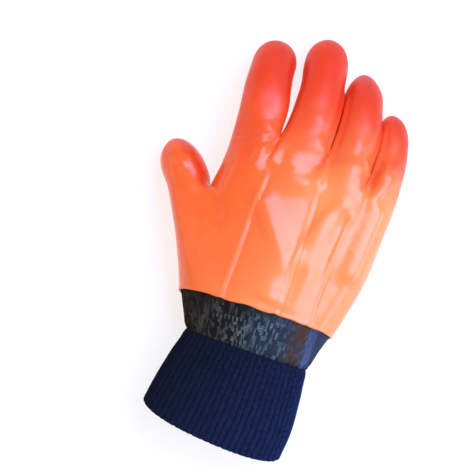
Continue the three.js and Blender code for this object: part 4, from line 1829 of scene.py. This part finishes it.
@dataclass
class DarkDipBand:
    """The dark first dip below the hem, with the soaked knit's stitches standing in it.

    Over the last thin_from above its foot the wall thins by the given share and its end wavers. The stitches
    are soaked dark in dashes, and those that aren't differ in tone by the given shares.
    """

    shift: Array
    level: int = 3
    wales: int = 180
    wale: float = 1.4
    course: float = 1.28
    stitch_rows: tuple[float, float] = (DIP_FOOT + 0.8, HEM - 0.2)
    stitch_depth: float = 0.06
    bright: tuple[float, float] = (0.35, 0.75)
    tones: tuple[float, float] = (0.6, 0.4)
    thin_from: float = 4.0
    thinned_by: float = 0.75
    foot_waver: float = 1.1
    waver_size: float = 7.0
    finish: SoakedDip = field(default_factory=SoakedDip)

    def build(self) -> bpy.types.Object:
        """Builds and dresses the band.

        Returns:
            The finished piece.
        """
        skin = smooth_skin(self.level)
        chosen = (skin.floors < HEM_ROW) | (skin.rows[skin.quads].max(1) <= LAP_ROW + 1e-4)
        used, quads = part_of(skin, chosen)
        foot = smooth_step(skin.points[:, 1], DIP_FOOT + self.thin_from, DIP_FOOT)
        outside = skin.under(HEM_WALL + LAP_GAP + self.thinned_by * DIP_WALL * foot)
        inside = skin.under(HEM_WALL + LAP_GAP + DIP_WALL)
        waver = self.foot_waver * softly_uneven(skin.points, self.waver_size, 2.0) * foot
        outside[:, 1] += waver
        inside[:, 1] += waver
        surface = Surface()
        surface.add_points(outside[used])
        surface.add_faces(quads)
        first = surface.add_points(inside[used])
        surface.add_faces(quads[:, ::-1] + first)
        for loop in rim_loops(quads):
            surface.add_band(loop, np.array(loop) + first)
        wall = surface.piece("dip_wall", self.shift, (self.finish.material(self.shift),))
        shape = {"yarn": 0.62, "slant": 13.0, "unevenness": 0.25, "seed": 3}
        pattern = StitchPattern("dip_stitches", self.wale, self.course, **shape)
        tree = BVHTree.FromPolygons(outside[used].tolist(), quads.tolist())
        raised = replace(self.finish, stitches=True).material(self.shift)
        stitches = pattern.knitted(self.spots(tree), self.shift, raised)
        piece = joined("soaked_band", [wall, stitches])
        hand_in(piece, "dark_dip_band")
        return piece

    def spots(self, tree: BVHTree) -> StitchSpots:
        """Works out where the band's stitches stand.

        Args:
            tree: The band's outside.

        Returns:
            The spots.
        """
        ys = np.arange(*self.stitch_rows, self.course)
        rings = np.array([round_section(section_at(SLEEVE, y), self.wales) for y in ys])
        hits = [tree.find_nearest(Vector(point)) for point in rings.reshape(-1, 3)]
        places = np.array([hit[0] for hit in hits]).reshape(rings.shape)
        out = np.array([hit[1] for hit in hits])
        wale_way = unit(np.gradient(places, axis=0)).reshape(-1, 3)
        stretch = np.linalg.norm(np.roll(places, -1, axis=1) - places, axis=2).ravel() / self.wale
        chance = np.random.default_rng(12)
        course = np.arange(len(ys))[:, None] + chance.integers(0, 3, self.wales)
        dash = course // chance.integers(2, 4, self.wales)
        soaked = chance.random((len(ys) + 3, self.wales))[dash, np.arange(self.wales)]
        tone = self.tones[0] + self.tones[1] * chance.random(soaked.shape)
        tone = smooth_step(soaked, *self.bright) * tone
        places = places.reshape(-1, 3) - out * self.stitch_depth
        return StitchSpots(places, wale_way, out, stretch, tone.ravel())


@dataclass
class KnitWrist:
    """The navy rib-knit wrist: a ribbed tube with a rounded edge, and its knit stitches.

    The valleys are shallower over pull_length from the dip's foot, and come and go along each rib by the
    given shares. Over the shoulder the tube narrows by tuck, to pass inside the dip. Two wales stand on each
    rib, which is as wide as wales_to_a_rib of them.
    """

    shift: Array
    ribs: int = 60
    per_rib: int = 6
    round_steps: int = 720
    rib_depth: float = 0.9
    valley: float = 0.17
    depth_shares: tuple[float, float] = (0.62, 0.38)
    break_length: float = 8.5
    pull_length: float = 12.0
    wales: tuple[float, float] = (0.32, 0.68)
    wale: float = 1.75
    wales_to_a_rib: float = 2.5
    course: float = 1.34
    stitch_rows: tuple[float, float] = (SLEEVE[0].y + 1.0, DIP_FOOT - 0.5)
    stitch_lift: float = 0.02
    foot: float = SLEEVE[0].y
    shoulder: tuple[float, float] = (66.0, 71.0)
    tuck: float = 1.3
    inner_tuck: float = 0.6
    inner_end: float = DIP_MIDDLE
    edge_steps: int = 6
    edge_bulge: float = 0.9
    sink: float = 0.32
    finish: KnitYarn = field(default_factory=KnitYarn)

    def column(self, y: float, shares: Array, depth: Array | float) -> Array:
        """Finds points round the sleeve.

        Args:
            y: Where along the sleeve.
            shares: How far round each point is, from 0 to 1.
            depth: How far each lies in from the crests.

        Returns:
            The points.
        """
        fine, above = (round_section(section_at(SLEEVE, at), self.round_steps) for at in (y, y + 1.0))
        around = np.roll(fine, -1, axis=0) - np.roll(fine, 1, axis=0)
        out = unit(np.cross(around, above - fine))
        steps = np.arange(len(fine) + 1)
        points, out = (on_line(np.vstack([r, r[:1]]), steps, shares * len(fine)) for r in (fine, out))
        return points - out * np.broadcast_to(depth, len(points))[:, None]

    def ribbed(self, y: float, shares: Array) -> Array:
        """Works out how far in the ribbed surface lies.

        Args:
            y: Where along the sleeve.
            shares: How far round each point is, from 0 to 1.

        Returns:
            The depth of each point below the sleeve's section, in millimetres.
        """
        within = (shares * self.ribs) % 1.0
        from_valley = np.minimum(within, 1.0 - within)
        turn = y / self.break_length + GOLDEN * np.floor(shares * self.ribs + 0.5)
        broken = self.depth_shares[0] + self.depth_shares[1] * np.sin(2 * math.pi * turn)
        deep = broken * (0.5 + 0.5 * smooth_step(DIP_FOOT - y, 0.0, self.pull_length))
        fine = self.sink + self.rib_depth * deep * np.exp(-((from_valley / self.valley) ** 2))
        under_dip = smooth_step(y, *self.shoulder)
        return fine * (1 - 0.5 * under_dip) + self.tuck * under_dip

    def build(self) -> bpy.types.Object:
        """Builds and dresses the knit wrist.

        Returns:
            The finished piece.
        """
        count = self.ribs * self.per_rib
        shares = np.arange(count) / count
        half_wall = KNIT_WALL / 2
        start = self.shoulder[0]
        below = np.linspace(self.foot + half_wall, start - 2.0, 18)
        ys = np.concatenate([below, np.linspace(start, self.inner_end, 7)])
        outer = [self.column(y, shares, self.ribbed(y, shares)) for y in ys]
        tuck = self.inner_tuck * smooth_step(ys[::3], start, start + 6.0)
        inner = [self.column(y, shares, self.rib_depth + KNIT_WALL + by) for y, by in zip(ys[::3], tuck)]
        down = unit(outer[0] - outer[1])
        edge = rounded(outer[0], inner[0], down, self.edge_steps, self.edge_bulge)
        surface = Surface()
        rings = [surface.add_points(ring) + np.arange(count) for ring in (*outer[::-1], *edge, *inner)]
        for ring, following in zip(rings, [*rings[1:], rings[0]]):
            surface.add_band(ring, following)
        tube = surface.piece("knit_tube", self.shift, (self.finish.material(self.shift),))
        yarn = replace(self.finish, stitches=True).material(self.shift)
        pattern = StitchPattern("rib_stitches", self.wale, self.course, yarn=0.74, seed=5)
        stitches = pattern.knitted(self.spots(), self.shift, yarn)
        piece = joined("ribbed_cuff", [tube, stitches])
        hand_in(piece, "knit_wrist")
        return piece

    def spots(self) -> StitchSpots:
        """Works out where the ribs' stitches stand.

        Returns:
            The spots.
        """
        ys = np.arange(*self.stitch_rows, self.course)
        shares = ((np.arange(self.ribs)[:, None] + np.array(self.wales)) / self.ribs).ravel()
        places, lower = (
            np.array([self.column(y, shares, self.ribbed(y, shares) + deeper) for y in ys])
            for deeper in (-self.stitch_lift, 1.0)
        )
        wale_way = unit(np.gradient(places, axis=0)).reshape(-1, 3)
        out = unit(places - lower).reshape(-1, 3)
        rib_width = np.linalg.norm(np.roll(places, -2, axis=1) - places, axis=2).ravel()
        stretch = rib_width / (self.wale * self.wales_to_a_rib)
        tone = np.random.default_rng(31).random(len(stretch))
        return StitchSpots(places.reshape(-1, 3), wale_way, out, stretch, tone)


@dataclass(frozen=True)
class SoftLight:
    """A soft rectangular light that points at the middle of the glove.

    Its place and its size are in metres in the frame, and where its glow is 1 it looks like white paper.
    """

    name: str
    place: tuple[float, float, float]
    size: tuple[float, float]
    glow: float
    hue: str

    def hang(self) -> None:
        """Adds the light to the scene."""
        lamp = bpy.data.lights.new(self.name, "AREA")
        lamp.shape = "RECTANGLE"
        lamp.size, lamp.size_y = self.size
        lamp.energy = self.glow * math.pi * lamp.size * lamp.size_y
        lamp.color = linear(self.hue)[:3]
        piece = in_scene(self.name, lamp)
        piece.location = self.place
        piece.rotation_euler = Vector(self.place).to_track_quat("Z", "Y").to_euler()


@dataclass
class Studio:
    """A pale floor, soft lights and a camera that looks straight down, as the photograph does."""

    shift: Array
    lights: tuple[SoftLight, ...] = (
        SoftLight("window", (0.405, 0.294, 0.924), (1.4, 0.68), 7.6, "b0c8ff"),
        SoftLight("low_window", (0.94, -0.22, 0.33), (0.9, 0.42), 5.0, "b6c2ff"),
        SoftLight("fill", (-0.7, -0.6, 0.8), (1.6, 1.2), 0.6, "ffdcc0"),
        SoftLight("far_window", (-0.97, 0.12, 0.24), (0.9, 0.24), 1.5, "ffece0"),
    )
    surround: str = "ffe6d6"
    surround_glow: float = 0.36
    camera_over: tuple[float, float] = (-27.3, 137.9)
    camera_height: float = 980.0
    camera_turn: float = 18.0
    field_width: float = 311.1
    field_height: float = 30.0
    floor_half: float = 4000.0
    floor_z: float = -0.3
    floor_grain: float = 3.0
    floor_glow: float = 0.8

    def floor(self) -> None:
        """Lays the floor, a sheet of opal plastic on a light table, so that shadows on it are faint."""
        half, z = self.floor_half * MM, self.floor_z * MM
        mesh = bpy.data.meshes.new("studio_floor")
        corners = [(-half, -half, z), (half, -half, z), (half, half, z), (-half, half, z)]
        mesh.from_pydata(corners, [], [(0, 1, 2, 3)])
        material, tree = new_material("pale opal sheet")
        place = add_node(tree, "ShaderNodeTexCoord", {}, {}).outputs["Object"]
        grain = {"Vector": place, "Scale": per_size(self.floor_grain), "Detail": 2.0}
        grain = add_node(tree, "ShaderNodeTexNoise", {}, grain).outputs["Fac"]
        shade = {0: grain, 6: linear("8a8a8a"), 7: linear("929292")}
        shade = add_node(tree, *COLOUR_MIX, shade).outputs[2]
        shader = {"Base Color": shade, "Roughness": 0.9}
        shader |= {"Emission Color": linear("fafafa"), "Emission Strength": self.floor_glow}
        mesh.materials.append(finished(material, shader))
        piece = in_scene("studio_floor", mesh)

    def surroundings(self) -> None:
        """Sets the surrounding white."""
        world = bpy.data.worlds.new("white surround")
        world.use_nodes = True
        light = world.node_tree.nodes["Background"].inputs
        light["Color"].default_value = linear(self.surround)
        light["Strength"].default_value = self.surround_glow
        bpy.context.scene.world = world
        bpy.context.scene.view_settings.view_transform = "Standard"

    def camera(self) -> None:
        """Hangs the camera straight above the glove."""
        lens = bpy.data.cameras.new("camera")
        lens.sensor_fit = "HORIZONTAL"
        lens.lens = lens.sensor_width * (self.camera_height - self.field_height) / self.field_width
        piece = in_scene("camera", lens)
        x, y = np.array(self.camera_over) + self.shift[:2]
        piece.location = (x * MM, y * MM, self.camera_height * MM)
        piece.rotation_euler = (0.0, 0.0, math.radians(self.camera_turn))
        bpy.context.scene.camera = piece

    def build(self) -> None:
        """Builds the floor, the lights and the camera."""
        self.floor()
        for light in self.lights:
            light.hang()
        self.surroundings()
        self.camera()


def main() -> None:
    """Builds the glove piece by piece, then the studio, and logs where the measuring frame's zero lies."""
    logging.basicConfig(level=logging.INFO, format="%(name)s: %(message)s")
    shift = frame_shift()
    log.info("measuring frame's zero in the frame: %s", np.round(shift, 3))
    OrangeCoat(shift).build()
    DarkDipBand(shift).build()
    KnitWrist(shift).build()
    Studio(shift).build()


if __name__ == "__main__":
    main()
